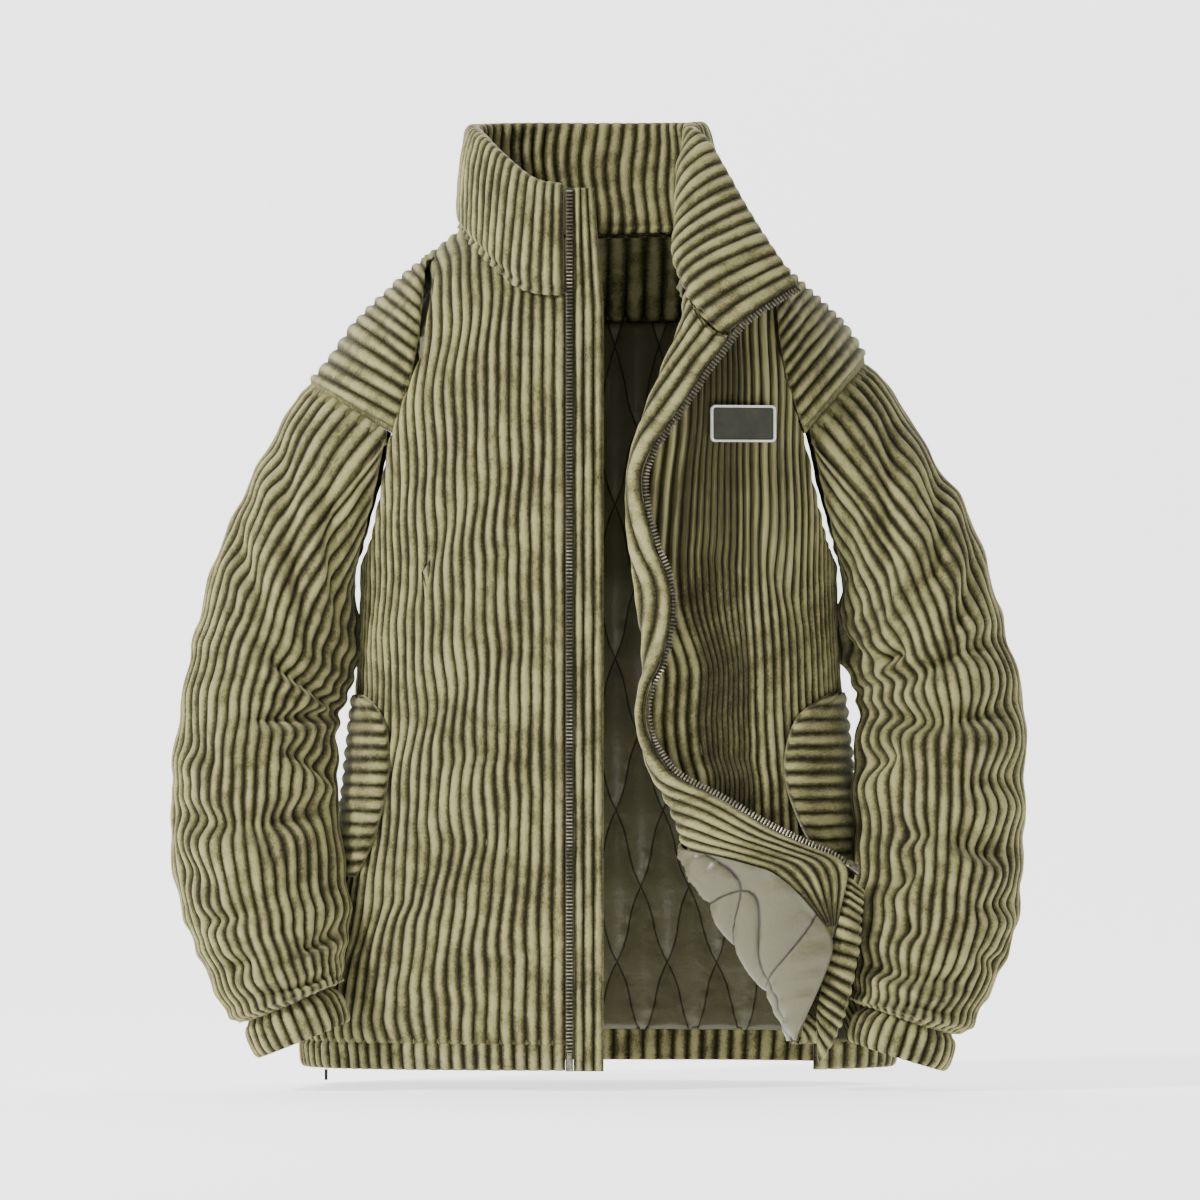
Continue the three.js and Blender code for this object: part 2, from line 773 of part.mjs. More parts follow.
// Corduroy facing and lining of the left front, which follow its roll and turned corner
const facingGap = 0.01;
function facingPart(level) {
  return (leftRow(level).facing / facingWidth) * facingShare;
}
const facingRows = leftAllRows.filter((level) => level > zLevel(-588));
function facingEnd(level) {
  return facingPart(level) - facingGap;
}
function facingLeft() {
  const rows = [zLevel(-597), ...facingRows];
  const outer = rows.map((r) =>
    steps(0, facingPart(r), facingColumns).map((f) =>
      leftFront(Math.min(f, facingEnd(r)), r, liningFront + 0.8),
    ),
  );
  const inner = rows.map((r) =>
    waleColumns(6).map(({ f, depth }) =>
      leftFront(f * facingEnd(r), r, liningFront + 0.8 + facingThickness + waleDepth - depth),
    ),
  );
  return solidBetween(outer, inner);
}
add("facing_left", facingLeft(), "corduroy");
function liningLeftSurface(column, level, depth) {
  const start = Math.max(facingPart(level) - facingGap / 4, 0);
  const squeezed = lerp(start, facingShare, column / facingColumns);
  return leftFront(column < facingColumns ? squeezed : leftInner[column], level, depth);
}
const leftColumns = leftInner.map((_, i) => i);
// The quilts lie flat next to the facing and at the turned corner, and fill out past the roll.
const flatEdge = 90;
const turnedZ = -500;
function quiltPuff(across, z) {
  const up = z / quiltHeight;
  const one = Math.sin(Math.PI * (across / quiltWidth + up));
  const other = Math.sin(Math.PI * (across / quiltWidth - up));
  return Math.abs(one * other);
}
const leftQuilts = leftColumns.filter((i) => i % 2 === 0 || i === leftInner.length - 1);
// The lining hangs a little looser round the turned corner and towards the shoulder.
function liningEase(level) {
  const corner = (levelZ(level) + 545) / 70;
  return 0.8 + 4.4 * Math.exp(-corner * corner) + 3.4 * clamp(level - 1, 0, 1);
}
function liningLeft() {
  const outer = leftAllRows.map((r) =>
    leftColumns.map((column) => liningLeftSurface(column, r, liningFront + liningEase(r))),
  );
  const inner = leftAllRows.map((r) =>
    leftQuilts.map((column) => {
      const across = leftDistance(leftInner[column], r);
      const clear = clamp((across - flatEdge) / quiltWidth, 0, 1) * clamp((levelZ(r) - turnedZ) / 60, 0, 1);
      const puff = lerp(quiltLow + 1, quiltHigh, quiltPuff(across, levelZ(r)) * clear);
      return liningLeftSurface(column, r, liningFront + liningEase(r) + puff);
    }),
  );
  return solidBetween(outer, inner);
}
add("lining_left", liningLeft(), "satin");

// Hem band in gathered runs
const hemTop = zLevel(hemSeamZ - seamGap);
const hemRows = [zLevel(hemBottomZ), hemTop];
const hemThickness = 8;
add("hem_right", ribbedWall(rightFront, hemRows, 24, steps(0, 1, 12), hemThickness), "corduroy");
add("hem_back", ribbedWall(backSurface, hemRows, 44, steps(0, 1, 24), hemThickness), "corduroy");
const hemFoldX = 178;
function hemLeftSurface(f, level, depth) {
  const part = quarterPart(hemFoldX, levelZ(level));
  return torso(lerp(4 - part, 3 + seamPart, f), level, depth);
}
add("hem_left", ribbedWall(hemLeftSurface, hemRows, 10, steps(0, 1, 5), hemThickness), "corduroy");

// Turned part of the hem band, from the fold up to the corner
const turnedHem = table("at seamX seamZ rimX rimZ lift", [
  [0, 175, -658, 182, -679, 22],
  [1, 180, -626, 196, -655, 30],
  [2, 191, -590, 206, -626, 36],
  [3, 201, -548, 215, -582, 38],
  [4, 205, -522, 219, -537, 36],
]);
function turnedHemSurface(f, row, depth) {
  const x = lerp(smooth(turnedHem, f * 4, "seamX"), smooth(turnedHem, f * 4, "rimX"), row);
  const z = lerp(smooth(turnedHem, f * 4, "seamZ"), smooth(turnedHem, f * 4, "rimZ"), row);
  const lift = smooth(turnedHem, f * 4, "lift");
  const rounded = 2 * Math.sin(Math.PI * row);
  const flat = x * (1 - flapFlatten);
  return vec(x, frontY(flat, z) - lift - rounded + depth - 4, z);
}
add("hem_left_turned", ribbedWall(turnedHemSurface, [0.06, 1], 18, steps(0, 1, 9), 7), "corduroy");

// Collar
function collarBase(at, up) {
  const read = (column) => smooth(collarStations, at, column);
  const b = vec(read("bx"), read("by"), read("bz"));
  const m = vec(read("mx"), read("my"), read("mz"));
  const t = vec(read("tx"), read("ty"), read("tz"));
  return b
    .multiplyScalar((1 - up) * (1 - 2 * up))
    .addScaledVector(m, 4 * up * (1 - up))
    .addScaledVector(t, up * (2 * up - 1));
}
function collarInset(at, up, depth) {
  const along = collarBase(at + 3, up).sub(collarBase(at - 3, up));
  const rise = collarBase(at, up + 0.05).sub(collarBase(at, up - 0.05));
  const normal = along.cross(rise).normalize();
  return collarBase(at, up).addScaledVector(normal, depth);
}
function collar() {
  const from = collarStations[0].at;
  const to = collarStations[collarStations.length - 1].at;
  const side = (sign) =>
    collarRows.map((up) =>
      waleColumns(collarWales).map(({ f, depth }) => {
        const half = collarThickness / 2 - (up === 1 ? 2 : 0);
        const margin = 2;
        const at = lerp(from + margin, to - margin, f);
        return collarInset(at, up, sign * (half - depth * 0.8));
      }),
    );
  return solidBetween(side(1), side(-1));
}
add("collar", collar(), "corduroy");

// Shoulder pieces: wales run round the arm, between the armhole and the sleeve seam
function armholeX(z) {
  let i = 0;
  const rows = frontTop.filter((row) => row.x >= 139);
  while (i < rows.length - 2 && rows[i + 1].z > z) i++;
  const t = clamp((z - rows[i].z) / (rows[i + 1].z - rows[i].z), 0, 1);
  return lerp(rows[i].x, rows[i + 1].x, t);
}
function shoulderPoint(side, stations, v, turn) {
  const z = lerp(-16, capJoinZ, v);
  const x = armholeX(z) + 1;
  const part = quarterPart(x, chestZ);
  const front = torsoBase(part, 2);
  const back = torsoBase(2 - part, 2);
  const seamX = stations[0].outX;
  const seamZ = stations[0].outZ;
  const ridgeX = lerp(142, seamX - 1, v);
  const ridgeZ = v < 1 ? line(shoulderLine, ridgeX, "ridge") : seamZ;
  const y = turn < Math.PI / 2 ? front.y : back.y;
  const px = x + (ridgeX - x) * Math.sin(turn);
  const pz = z + (ridgeZ - z) * Math.sin(turn);
  return vec(side * px, Math.abs(y) * -Math.cos(turn), pz);
}
function shoulderInset(side, stations, v, turn, depth) {
  const base = (a, b) => shoulderPoint(side, stations, a, b);
  const w = clamp(v, 0.02, 0.98);
  const step = 0.02;
  const alongV = base(w + step, turn).sub(base(w - step, turn));
  const alongTurn = base(w, turn + step).sub(base(w, turn - step));
  const normal = alongV.cross(alongTurn).normalize();
  return base(v, turn).addScaledVector(normal, depth * side);
}
function shoulder(side, stations) {
  const turns = steps(0.02, Math.PI - 0.02, 7);
  const surface = (f, turn, depth) => shoulderInset(side, stations, f, turn, depth);
  return ribbedWall(surface, turns, capWales, steps(0, 1, 6));
}
add("shoulder_right", shoulder(-1, sleeveRightStations), "corduroy");
add("shoulder_left", shoulder(1, sleeveLeftStations), "corduroy");

// Sleeves. The turn is 0 at the front, a quarter at the outer edge and a half at the back.
function armholeLoop(side, stations, turn) {
  const upper = turn >= 0 && turn <= Math.PI;
  if (upper) return shoulderPoint(side, stations, 1, turn);
  const join = torsoBase(quarterPart(armholeX(capJoinZ) + 1, chestZ), 2);
  const y = Math.abs(join.y) * Math.cos(turn);
  const halfDepth = smooth(torsoSections, chestZ, "halfDepth");
  const halfWidth = smooth(torsoSections, chestZ, "halfWidth");
  const share = clamp(Math.abs(y) / halfDepth, 0, 1);
  const x = halfWidth * (1 - share ** ringPower) ** (1 / ringPower);
  const joined = Math.max(x, armholeX(capJoinZ)) + 1.2;
  return vec(side * joined, -y, line(frontTop, joined, "z"));
}
function sleeveCentre(stations, at) {
  const read = (column) => smooth(stations, at, column);
  return {
    x: (read("outX") + read("inX")) / 2,
    y: read("centreY"),
    z: (read("outZ") + read("inZ")) / 2,
    halfX: (read("outX") - read("inX")) / 2,
    halfZ: (read("outZ") - read("inZ")) / 2,
    halfDepth: read("halfDepth"),
  };
}
function creaseShare(creases, at, degrees) {
  return creases.reduce((sum, crease) => {
    const apart = (((degrees - crease.angle) % 360) + 540) % 360 - 180;
    const round = apart / crease.spread;
    const along = (at - crease.at) / crease.size;
    return sum + crease.depth * Math.exp(-round * round - along * along);
  }, 0);
}
function sleeveBase(side, stations, creases, turn, at) {
  const c = sleeveCentre(stations, at);
  const dent = creaseShare(creases, at, (turn * 180) / Math.PI);
  const size = 1 - dent / Math.hypot(c.halfX, c.halfZ);
  const point = vec(
    side * (c.x + c.halfX * Math.sin(turn) * size),
    c.y - c.halfDepth * Math.cos(turn) * size,
    c.z + c.halfZ * Math.sin(turn) * size,
  );
  if (at < armholeBlend) {
    const wrapped = turn > Math.PI ? turn - 2 * Math.PI : turn;
    const first = sleeveCentre(stations, 0);
    const target = armholeLoop(side, stations, wrapped);
    const share = (1 - at / armholeBlend) ** 2;
    target.x -= side * (first.x + first.halfX * Math.sin(turn));
    target.y -= first.y - first.halfDepth * Math.cos(turn);
    target.z -= first.z + first.halfZ * Math.sin(turn);
    point.addScaledVector(target, share);
  }
  return point;
}
function sleeveInset(side, stations, creases, turn, at, depth) {
  const base = (a, b) => sleeveBase(side, stations, creases, a, b);
  const w = clamp(at, 0.12, 15.9);
  const around = base(turn + 0.03, at).sub(base(turn - 0.03, at));
  const along = base(turn, w + 0.1).sub(base(turn, w - 0.1));
  const normal = around.cross(along).normalize();
  return base(turn, at).addScaledVector(normal, depth * side);
}
const sleeveRows = [0.06, 1.6, 3.3, 5.2, 6.2, 7.1, 9.1, 10.2, 11.3, 13.2, 14.6, 16];
function tube(surface, rows, wales, innerCount, thickness, relief = waleDepth) {
  const full = 2 * Math.PI;
  const outer = rows.map((r) =>
    steps(0, 1, wales * 2).slice(0, -1).map((f, i) => surface(f * full, r, i % 2 ? 0 : relief)),
  );
  const inner = rows.map((r) =>
    steps(0, 1, innerCount).slice(0, -1).map((f) => surface(f * full, r, thickness)),
  );
  return solidBetween(outer, inner, true);
}
function sleeve(side, stations, creases) {
  const surface = (turn, at, depth) => sleeveInset(side, stations, creases, turn, at, depth);
  return tube(surface, sleeveRows, sleeveWales, 12, clothThickness);
}
add("sleeve_right", sleeve(-1, sleeveRightStations, sleeveRightCreases), "corduroy");
add("sleeve_left", sleeve(1, sleeveLeftStations, sleeveLeftCreases), "corduroy");

// Cuffs, set square to the end of each sleeve
function cuffSurface(side, stations, turn, along, depth) {
  const end = sleeveCentre(stations, 16);
  const half = Math.hypot(end.halfX, end.halfZ);
  const down = vec(side * -end.halfZ, 0, end.halfX).multiplyScalar(-1 / half);
  const across = vec(side * end.halfX, 0, end.halfZ).divideScalar(half);
  const swell = 1 + 0.05 * Math.sin(Math.PI * clamp(along / cuffLength, 0, 1));
  const point = vec(side * end.x, end.y, end.z).addScaledVector(down, along);
  point.addScaledVector(across, (half * swell - depth) * Math.sin(turn));
  point.y -= (end.halfDepth * swell - depth) * Math.cos(turn);
  return point;
}
function cuff(side, stations) {
  const surface = (turn, along, depth) => cuffSurface(side, stations, turn, along, depth);
  return tube(surface, [1.2, cuffLength], cuffWales, 11, cuffThickness);
}
add("cuff_right", cuff(-1, sleeveRightStations), "corduroy");
add("cuff_left", cuff(1, sleeveLeftStations), "corduroy");

// Placket and zip of the right front edge, from the hem to the top of the collar
const rightEdgeRows = [-684, -611, -500, -418, -340, -200, -100, -45, -2, 38];
function edgeY(z) {
  if (z <= -45) return frontY(24, Math.max(z, -684));
  const first = collarStations[0];
  const up = z < first.mz ? (z + 45) / (first.mz + 45) / 2 : 0.5 + (z - first.mz) / 84;
  return lerp(frontY(24, -45), collarBase(first.at, up).y - collarThickness / 2, clamp(up * 6, 0, 1));
}
function placketSurface(f, z, depth) {
  const narrow = clamp((z + 60) / 98, 0, 1) * 8;
  const x = lerp(placketRightX, placketLeftX - narrow, f);
  return vec(x, edgeY(z) + 1.5 + depth, z);
}
add("placket_right", ribbedWall(placketSurface, rightEdgeRows, 3, [0, 1]), "corduroy");

// A strip of rectangular section through frames of a point, a sideways and an inward way
function sectionStrip(frames, side0, side1, depth0, depth1) {
  const place = (frame, side, depth) =>
    frame.point.clone().addScaledVector(frame.across, side).addScaledVector(frame.inward, depth);
  const outer = frames.map((frame) => [place(frame, side0, depth0), place(frame, side1, depth0)]);
  const inner = frames.map((frame) => [place(frame, side0, depth1), place(frame, side1, depth1)]);
  return solidBetween(outer, inner);
}
function edgeFrame(z) {
  return { point: vec(rightEdgeX, edgeY(z), z), across: vec(1, 0, 0), inward: vec(0, 1, 0) };
}
const rightFrames = rightEdgeRows.map(edgeFrame);
const chainFrom = 0.7;
const chainTo = chainFrom + zipChainWidth;
const pinTopZ = -668;
const chainFrames = [edgeFrame(pinTopZ + seamGap), ...rightFrames.slice(1)];
add("zip_chain_right", sectionStrip(chainFrames, chainFrom, chainTo, -0.4, 2.2), "metal");
add("zip_tape_right", sectionStrip(rightFrames, 0.4, 6.4, 2.5, 3.3), "tape");
const pinFrames = [edgeFrame(hemBottomZ), edgeFrame(pinTopZ)];
add("zip_pin_right", sectionStrip(pinFrames, 1.4, 5.4, -0.6, 2.2), "metal");

// Left chain: along the front's end edge, then along the collar's front edge
function leftChainFrames() {
  const rows = leftAllRows.filter((level) => level > zLevel(-566));
  const front = rows.map((level) => ({
    point: leftAt(0, level),
    across: leftAt(0, level).sub(leftAt(3, level)).normalize(),
    inward: leftInset(0, level, 1).sub(leftInset(0, level, 0)).normalize(),
  }));
  const end = collarStations[collarStations.length - 1].at;
  const atCollar = [0.2, 0.45, 0.72, 1].map((up) => ({
    point: collarBase(end - 2, up),
    across: collarBase(end, up).sub(collarBase(end - 4, up)).normalize(),
    inward: collarInset(end - 2, up, 1).sub(collarInset(end - 2, up, 0)).normalize(),
  }));
  return [...front, ...atCollar];
}
const leftFrames = leftChainFrames();
add("zip_chain_left", sectionStrip(leftFrames, chainFrom, chainTo, 0, 2.2), "metal");
add("zip_tape_left", sectionStrip(leftFrames, 0.4, 6.4, 4, 4.7), "tape");

// Slider with its box, at the end of the left chain
const sliderLength = 13;
function sliderFrames() {
  const first = leftFrames[0];
  const way = first.point.clone().sub(leftFrames[1].point).normalize();
  const at = (distance) => ({
    point: first.point.clone().addScaledVector(way, distance),
    across: first.across,
    inward: first.inward,
  });
  return [at(seamGap), at(sliderLength)];
}
add("zip_slider_left", sectionStrip(sliderFrames(), 0.2, 7.4, -1.2, 3.8), "metal");

// End of the hem cord, just under the right of the hem
const cordEnd = { x: -224, y: -62, radius: 1.3, length: 9 };
const cordGeometry = new THREE.CylinderGeometry(cordEnd.radius, cordEnd.radius, cordEnd.length, 8);
cordGeometry.rotateX(Math.PI / 2);
const cordZ = hemBottomZ - seamGap - cordEnd.length / 2;
cordGeometry.translate(cordEnd.x, cordEnd.y, cordZ);
add("hem_cord_end", cordGeometry, "cord");

// Pocket welts: level wales, a rolled front edge and a flat back towards the side seam
function pocketSurface(side, edge) {
  const low = edge[0].z;
  const high = edge[edge.length - 1].z;
  return (f, across, depth) => {
    const z = lerp(low + 1, high - 1, f);
    const near = quarterPart(smooth(edge, z, "x"), z);
    const part = lerp(near, pocketBackTurn, across);
    const swell = Math.sin(Math.PI * clamp(0.12 + f * 0.76, 0, 1));
    const shape = across < 0.05 ? 0.45 : 1 - 0.55 * across;
    const height = depth < 0 ? -depth : pocketHeight * swell * shape + 3.9 - depth;
    return torso(side < 0 ? part : 4 - part, zLevel(z), -height);
  };
}
function pocket(side, edge) {
  const surface = pocketSurface(side, edge);
  const across = [0, 0.12, 0.35, 0.57, 0.79, 1];
  const outer = across.map((a) =>
    waleColumns(pocketWales).map(({ f, depth }) => surface(f, a, depth * 0.7)),
  );
  const inner = across.map((a) => steps(0, 1, 9).map((f) => surface(f, a, -pocketStandOff)));
  return solidBetween(outer, inner);
}
add("pocket_right", pocket(-1, pocketRightEdge), "corduroy");
add("pocket_left", pocket(1, pocketLeftEdge), "corduroy");

// Badge: a bare plate with a raised border, flat against the wales
function roundedPlate(width, height, corner) {
  const shape = new THREE.Shape();
  const x = width / 2;
  const y = height / 2;
  shape.moveTo(-x + corner, -y);
  shape.lineTo(x - corner, -y);
  shape.quadraticCurveTo(x, -y, x, -y + corner);
  shape.lineTo(x, y - corner);
  shape.quadraticCurveTo(x, y, x - corner, y);
  shape.lineTo(-x + corner, y);
  shape.quadraticCurveTo(-x, y, -x, y - corner);
  shape.lineTo(-x, -y + corner);
  shape.quadraticCurveTo(-x, -y, -x + corner, -y);
  return shape;
}
function badgePiece(shape, from, thickness) {
  const options = { depth: thickness, bevelEnabled: false, curveSegments: 3 };
  const geometry = new THREE.ExtrudeGeometry(shape, options);
  const at = badgeCentre;
  const middle = vec(at.x, frontY(at.x, at.z), at.z);
  const across = vec(at.x + 5, frontY(at.x + 5, at.z), at.z).sub(middle).normalize();
  const up = vec(at.x, frontY(at.x, at.z + 5), at.z + 5).sub(middle).normalize();
  const out = across.clone().cross(up).normalize();
  const squareUp = out.clone().cross(across).normalize();
  const place = middle.addScaledVector(out, from);
  geometry.applyMatrix4(new THREE.Matrix4().makeBasis(across, squareUp, out).setPosition(place));
  return geometry;
}
const badgeStandOff = 0.9;
const inner = {
  width: badgeSize.width - 2 * badgeRimWidth,
  height: badgeSize.height - 2 * badgeRimWidth,
};
const rimShape = roundedPlate(badgeSize.width, badgeSize.height, badgeCorner);
rimShape.holes.push(roundedPlate(inner.width, inner.height, badgeCorner - 1));
const fieldShape = roundedPlate(
  inner.width - 2 * seamGap,
  inner.height - 2 * seamGap,
  badgeCorner - 1.2,
);
add("badge_field", badgePiece(fieldShape, badgeStandOff, badgeThickness), "rubber");
add("badge_rim", badgePiece(rimShape, badgeStandOff, badgeThickness + badgeRimHeight), "white");

export default group;
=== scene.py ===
# %% [markdown]
# A padded corduroy jacket, filled out as if somebody wore it, with nobody in it.
# Every cloth piece is a grid of points on the cut's own surface. The grid is worked
# out from the garment's sizes, then raised into wales, puckers and creases, and
# closed with a plain inner side. This way the wales follow each panel's grain,
# which a simulation on a remeshed form would lose.

import math

import bmesh
import bpy
import numpy as np
from mathutils import Matrix, Vector


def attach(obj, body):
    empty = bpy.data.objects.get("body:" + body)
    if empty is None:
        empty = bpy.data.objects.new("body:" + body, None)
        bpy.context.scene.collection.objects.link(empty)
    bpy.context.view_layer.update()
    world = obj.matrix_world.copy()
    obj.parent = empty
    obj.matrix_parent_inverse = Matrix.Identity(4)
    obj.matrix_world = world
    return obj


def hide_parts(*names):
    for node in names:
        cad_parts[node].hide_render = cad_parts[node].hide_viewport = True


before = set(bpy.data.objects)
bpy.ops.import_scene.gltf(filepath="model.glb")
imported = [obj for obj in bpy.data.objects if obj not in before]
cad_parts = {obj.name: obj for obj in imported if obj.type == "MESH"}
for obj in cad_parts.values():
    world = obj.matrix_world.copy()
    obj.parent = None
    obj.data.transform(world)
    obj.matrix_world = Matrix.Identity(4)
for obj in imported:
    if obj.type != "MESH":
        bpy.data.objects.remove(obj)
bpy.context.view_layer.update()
MM = 0.001
print("CAD nodes:", len(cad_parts))

# %% [markdown]
# The jacket's sizes are in millimetres, the same ones that its solids were cut from.
# Each table has a key and named columns. A smooth curve or a straight line is read
# through its rows, so a few rows give a whole outline.

# %% Tables of sizes
HEM_SEAM_Z, CHEST_Z, HEM_BOTTOM_Z = -661, -283, -684
RING_POWER, RIDGE_POWER = 2.4, 2.2
FRONT_RISE, BACK_RISE, RIDGE_STRETCH = 165, 120, 1.25
RIGHT_EDGE_X, FACING_WIDTH = -27.4, 62
SEAM_PART = 0.15 / 290


def table(names, rows):
    keys = names.split()
    made = {key: np.array([row[i] for row in rows], float) for i, key in enumerate(keys)}
    made["key"] = made[keys[0]]
    return made


torso_sections = table("z half_width half_depth", [
    [-690, 246, 126], [-661, 248, 130], [-640, 247, 136], [-600, 236, 144], [-540, 222, 149],
    [-460, 209, 151], [-380, 202, 149], [-320, 199, 145], [-283, 198, 142],
])
shoulder_line = table("x ridge", [
    [0, 18], [60, 17], [100, 14], [113, 11], [139, -11], [155, -22], [180, -45],
    [204, -68], [216, -86], [233, -109], [243, -118],
])
front_top = table("x z", [
    [20, -45], [42, -48], [57, -43], [69, -36], [80, -26], [92, -15], [104, -2], [113, 11],
    [139, -11], [148, -84], [154, -114], [164, -145], [173, -168], [181, -212],
    [190, -248], [198, -268],
])
back_top = table("x z", [
    [0, 8], [60, 9], [100, 10.5], [113, 11], [139, -11], [148, -84], [154, -114],
    [164, -145], [173, -168], [181, -212], [190, -248], [198, -268],
])
front_puckers = table("z depth size reach", [
    [-611, 5, 16, 120], [-500, 6, 16, 150], [-418, 6, 15, 110], [-283, 4, 18, 90],
])
left_edge = table("roll_z roll_x end_x end_z lift facing", [
    [-655, 158, 166, -650, 20, 0], [-644, 152, 169, -636, 24, 0],
    [-620, 137, 178, -608, 26, 0], [-600, 122, 188, -577, 28, 1],
    [-583, 110, 196, -545, 30, 31], [-565, 99, 200, -516, 30, 62],
    [-547, 87, 177, -504, 28, 62], [-518, 71, 136, -484, 24, 62],
    [-488, 62, 99, -462, 20, 62], [-446, 47, 62, -442, 18, 62],
    [-427, 39, 50, -427, 18, 62], [-399, 34, 40, -399, 18, 62],
    [-371, 36, 42, -372, 18, 62], [-352, 38, 50, -352, 18, 62],
    [-314, 33, 58, -314, 18, 62], [-286, 30, 57, -285, 18, 62],
    [-252, 25, 44, -251, 18, 62], [-204, 24, 35, -203, 18, 62],
    [-171, 30, 43, -176, 18, 62], [-137, 39, 58, -153, 18, 62],
    [-106, 51, 75, -128, 18, 62], [-66, 66, 88, -108, 18, 62],
    [-45, 69, 97, -97, 18, 62], [-19, 70, 104, -87, 18, 62],
])
collar_stations = table("at bx by bz mx my mz tx ty tz", [
    [-290, -27.5, -115, -44.6, -27.5, -120, -2, -27.5, -109, 40],
    [-255, -58, -109.5, -40.4, -56, -112, 3, -52, -100, 46],
    [-220, -81, -92, -22.4, -80, -92, 20, -74, -80, 64],
    [-180, -99.5, -65, -2.6, -99, -60, 40, -92, -48, 82],
    [-140, -110, -14, 12, -108, -12, 51, -101, -6, 92],
    [-100, -103, 27, 12, -102, 30, 53, -97, 35, 96],
    [-55, -61, 53.5, 10.6, -61, 60, 54, -60, 67, 98],
    [0, 0, 62, 9.6, 0, 69, 54, 0, 78, 98],
    [55, 61, 53.5, 10.6, 61, 59, 54, 60, 65, 98],
    [95, 97, 34, 12, 92, 30, 56, 82, 30, 97],
    [125, 110, -4, 12.2, 87, -10, 56, 75, -8, 94],
    [155, 107.5, -38, 7.6, 72, -42, 48, 90, -38, 80],
    [185, 96, -72, -7, 70, -78, 20, 106, -64, 52],
    [215, 82, -97, -19.6, 70, -106, -10, 122, -88, 22],
    [245, 79, -122, -44.6, 86, -128, -34, 140, -108, -8],
    [265, 86, -137.5, -64, 108, -135, -50, 152, -116, -26],
    [285, 106, -143.5, -83, 133, -139, -63, 163, -122, -44],
])
SLEEVE_COLUMNS = "at out_x out_z in_x in_z centre_y half_depth"
sleeve_right_stations = table(SLEEVE_COLUMNS, [
    [0, 243, -118, 199, -268, 0, 98], [1, 266, -157, 203, -292, -3, 90],
    [2, 285, -193, 206, -318, -8, 84], [3, 303, -230, 209, -340, -14, 80],
    [4, 319, -268, 213, -358, -22, 77], [5, 332, -313, 217, -372, -30, 74],
    [6, 339, -344, 222, -386, -36, 71], [7, 345, -385, 227, -402, -43, 71],
    [8, 350, -430, 229, -428, -52, 70], [9, 350, -463, 229, -458, -59, 69],
    [10, 350, -504, 226, -497, -68, 68], [11, 344, -545, 220, -535, -80, 66],
    [12, 336, -572, 216, -562, -89, 63], [13, 327, -594, 212, -583, -97, 59],
    [14, 314, -622, 209, -600, -106, 53], [15, 303, -640, 208, -609, -112, 47],
    [16, 291, -646, 213, -614, -116, 38],
])
sleeve_left_stations = table(SLEEVE_COLUMNS, [
    [0, 225, -101, 199, -268, 0, 98], [1, 252, -139, 203, -290, -3, 90],
    [2, 277, -184, 206, -312, -8, 84], [3, 298, -215, 209, -330, -14, 80],
    [4, 316, -255, 214, -344, -22, 77], [5, 328, -300, 220, -358, -30, 74],
    [6, 336, -335, 227, -372, -36, 71], [7, 348, -379, 229, -392, -43, 71],
    [8, 351, -426, 224, -424, -52, 70], [9, 349, -473, 223, -462, -60, 69],
    [10, 348, -510, 223, -498, -69, 68], [11, 346, -544, 220, -532, -80, 66],
    [12, 340, -575, 215, -562, -89, 63], [13, 330, -603, 211, -590, -98, 59],
    [14, 318, -628, 207, -611, -106, 53], [15, 307, -648, 205, -624, -112, 47],
    [16, 293, -656, 212, -630, -116, 38],
])
turned_hem = table("at seam_x seam_z rim_x rim_z lift", [
    [0, 175, -658, 182, -679, 22], [1, 180, -626, 196, -655, 30],
    [2, 191, -590, 206, -626, 36], [3, 201, -548, 215, -582, 38],
    [4, 205, -522, 219, -537, 36],
])
pocket_right_edge = table("z x", [
    [-527, 199], [-501, 186], [-463, 175], [-437, 171], [-405, 173], [-387, 181], [-376, 194],
])
pocket_left_edge = table("z x", [
    [-530, 198], [-499, 173], [-462, 156], [-437, 151], [-410, 155], [-390, 166], [-374, 192],
])


def line(tab, at, column):
    return np.interp(at, tab["key"], tab[column])


def smooth(tab, at, column):
    """A curve through the rows, with the slopes of the rows on each side."""
    key, value = tab["key"], tab[column]
    at = np.asarray(at, float)
    last = len(key) - 1
    i = np.clip(np.searchsorted(key, at) - 1, 0, last - 1)
    before, after = np.maximum(i - 1, 0), np.minimum(i + 2, last)
    span = key[i + 1] - key[i]
    t = np.clip((at - key[i]) / span, 0, 1)
    slope_b = (value[i + 1] - value[before]) / (key[i + 1] - key[before]) * span
    slope_c = (value[after] - value[i]) / (key[after] - key[i]) * span
    return (
        (2 * t**3 - 3 * t**2 + 1) * value[i]
        + (t**3 - 2 * t**2 + t) * slope_b
        + (3 * t**2 - 2 * t**3) * value[i + 1]
        + (t**3 - t**2) * slope_c
    )


def lerp(a, b, t):
    return a + (b - a) * t


def points(x, y, z):
    return np.stack(np.broadcast_arrays(x, y, z), axis=-1).astype(float)


print("tables:", len(left_edge["key"]), "rows in the left edge")

# %% [markdown]
# The body is a stack of level rounded sections. Each is measured out by length, so
# that a wale keeps its width wherever the section turns. Above the chest each wale
# goes straight up and then bends back over the shoulder line.

# %% Torso surface
RING_Z = np.linspace(-700, CHEST_Z, 90)
PARTS = np.linspace(0, 1, 500)


def quarter_tables():
    turns = np.linspace(0, math.pi / 2, 600)
    xs, ys, totals = [], [], []
    for z in RING_Z:
        x = smooth(torso_sections, z, "half_width") * np.sin(turns) ** (2 / RING_POWER)
        y = smooth(torso_sections, z, "half_depth") * np.abs(np.cos(turns)) ** (2 / RING_POWER)
        along = np.concatenate([[0], np.cumsum(np.hypot(np.diff(x), np.diff(y)))])
        xs.append(np.interp(PARTS, along / along[-1], x))
        ys.append(np.interp(PARTS, along / along[-1], y))
        totals.append(along[-1])
    return np.array(xs), np.array(ys), np.array(totals)


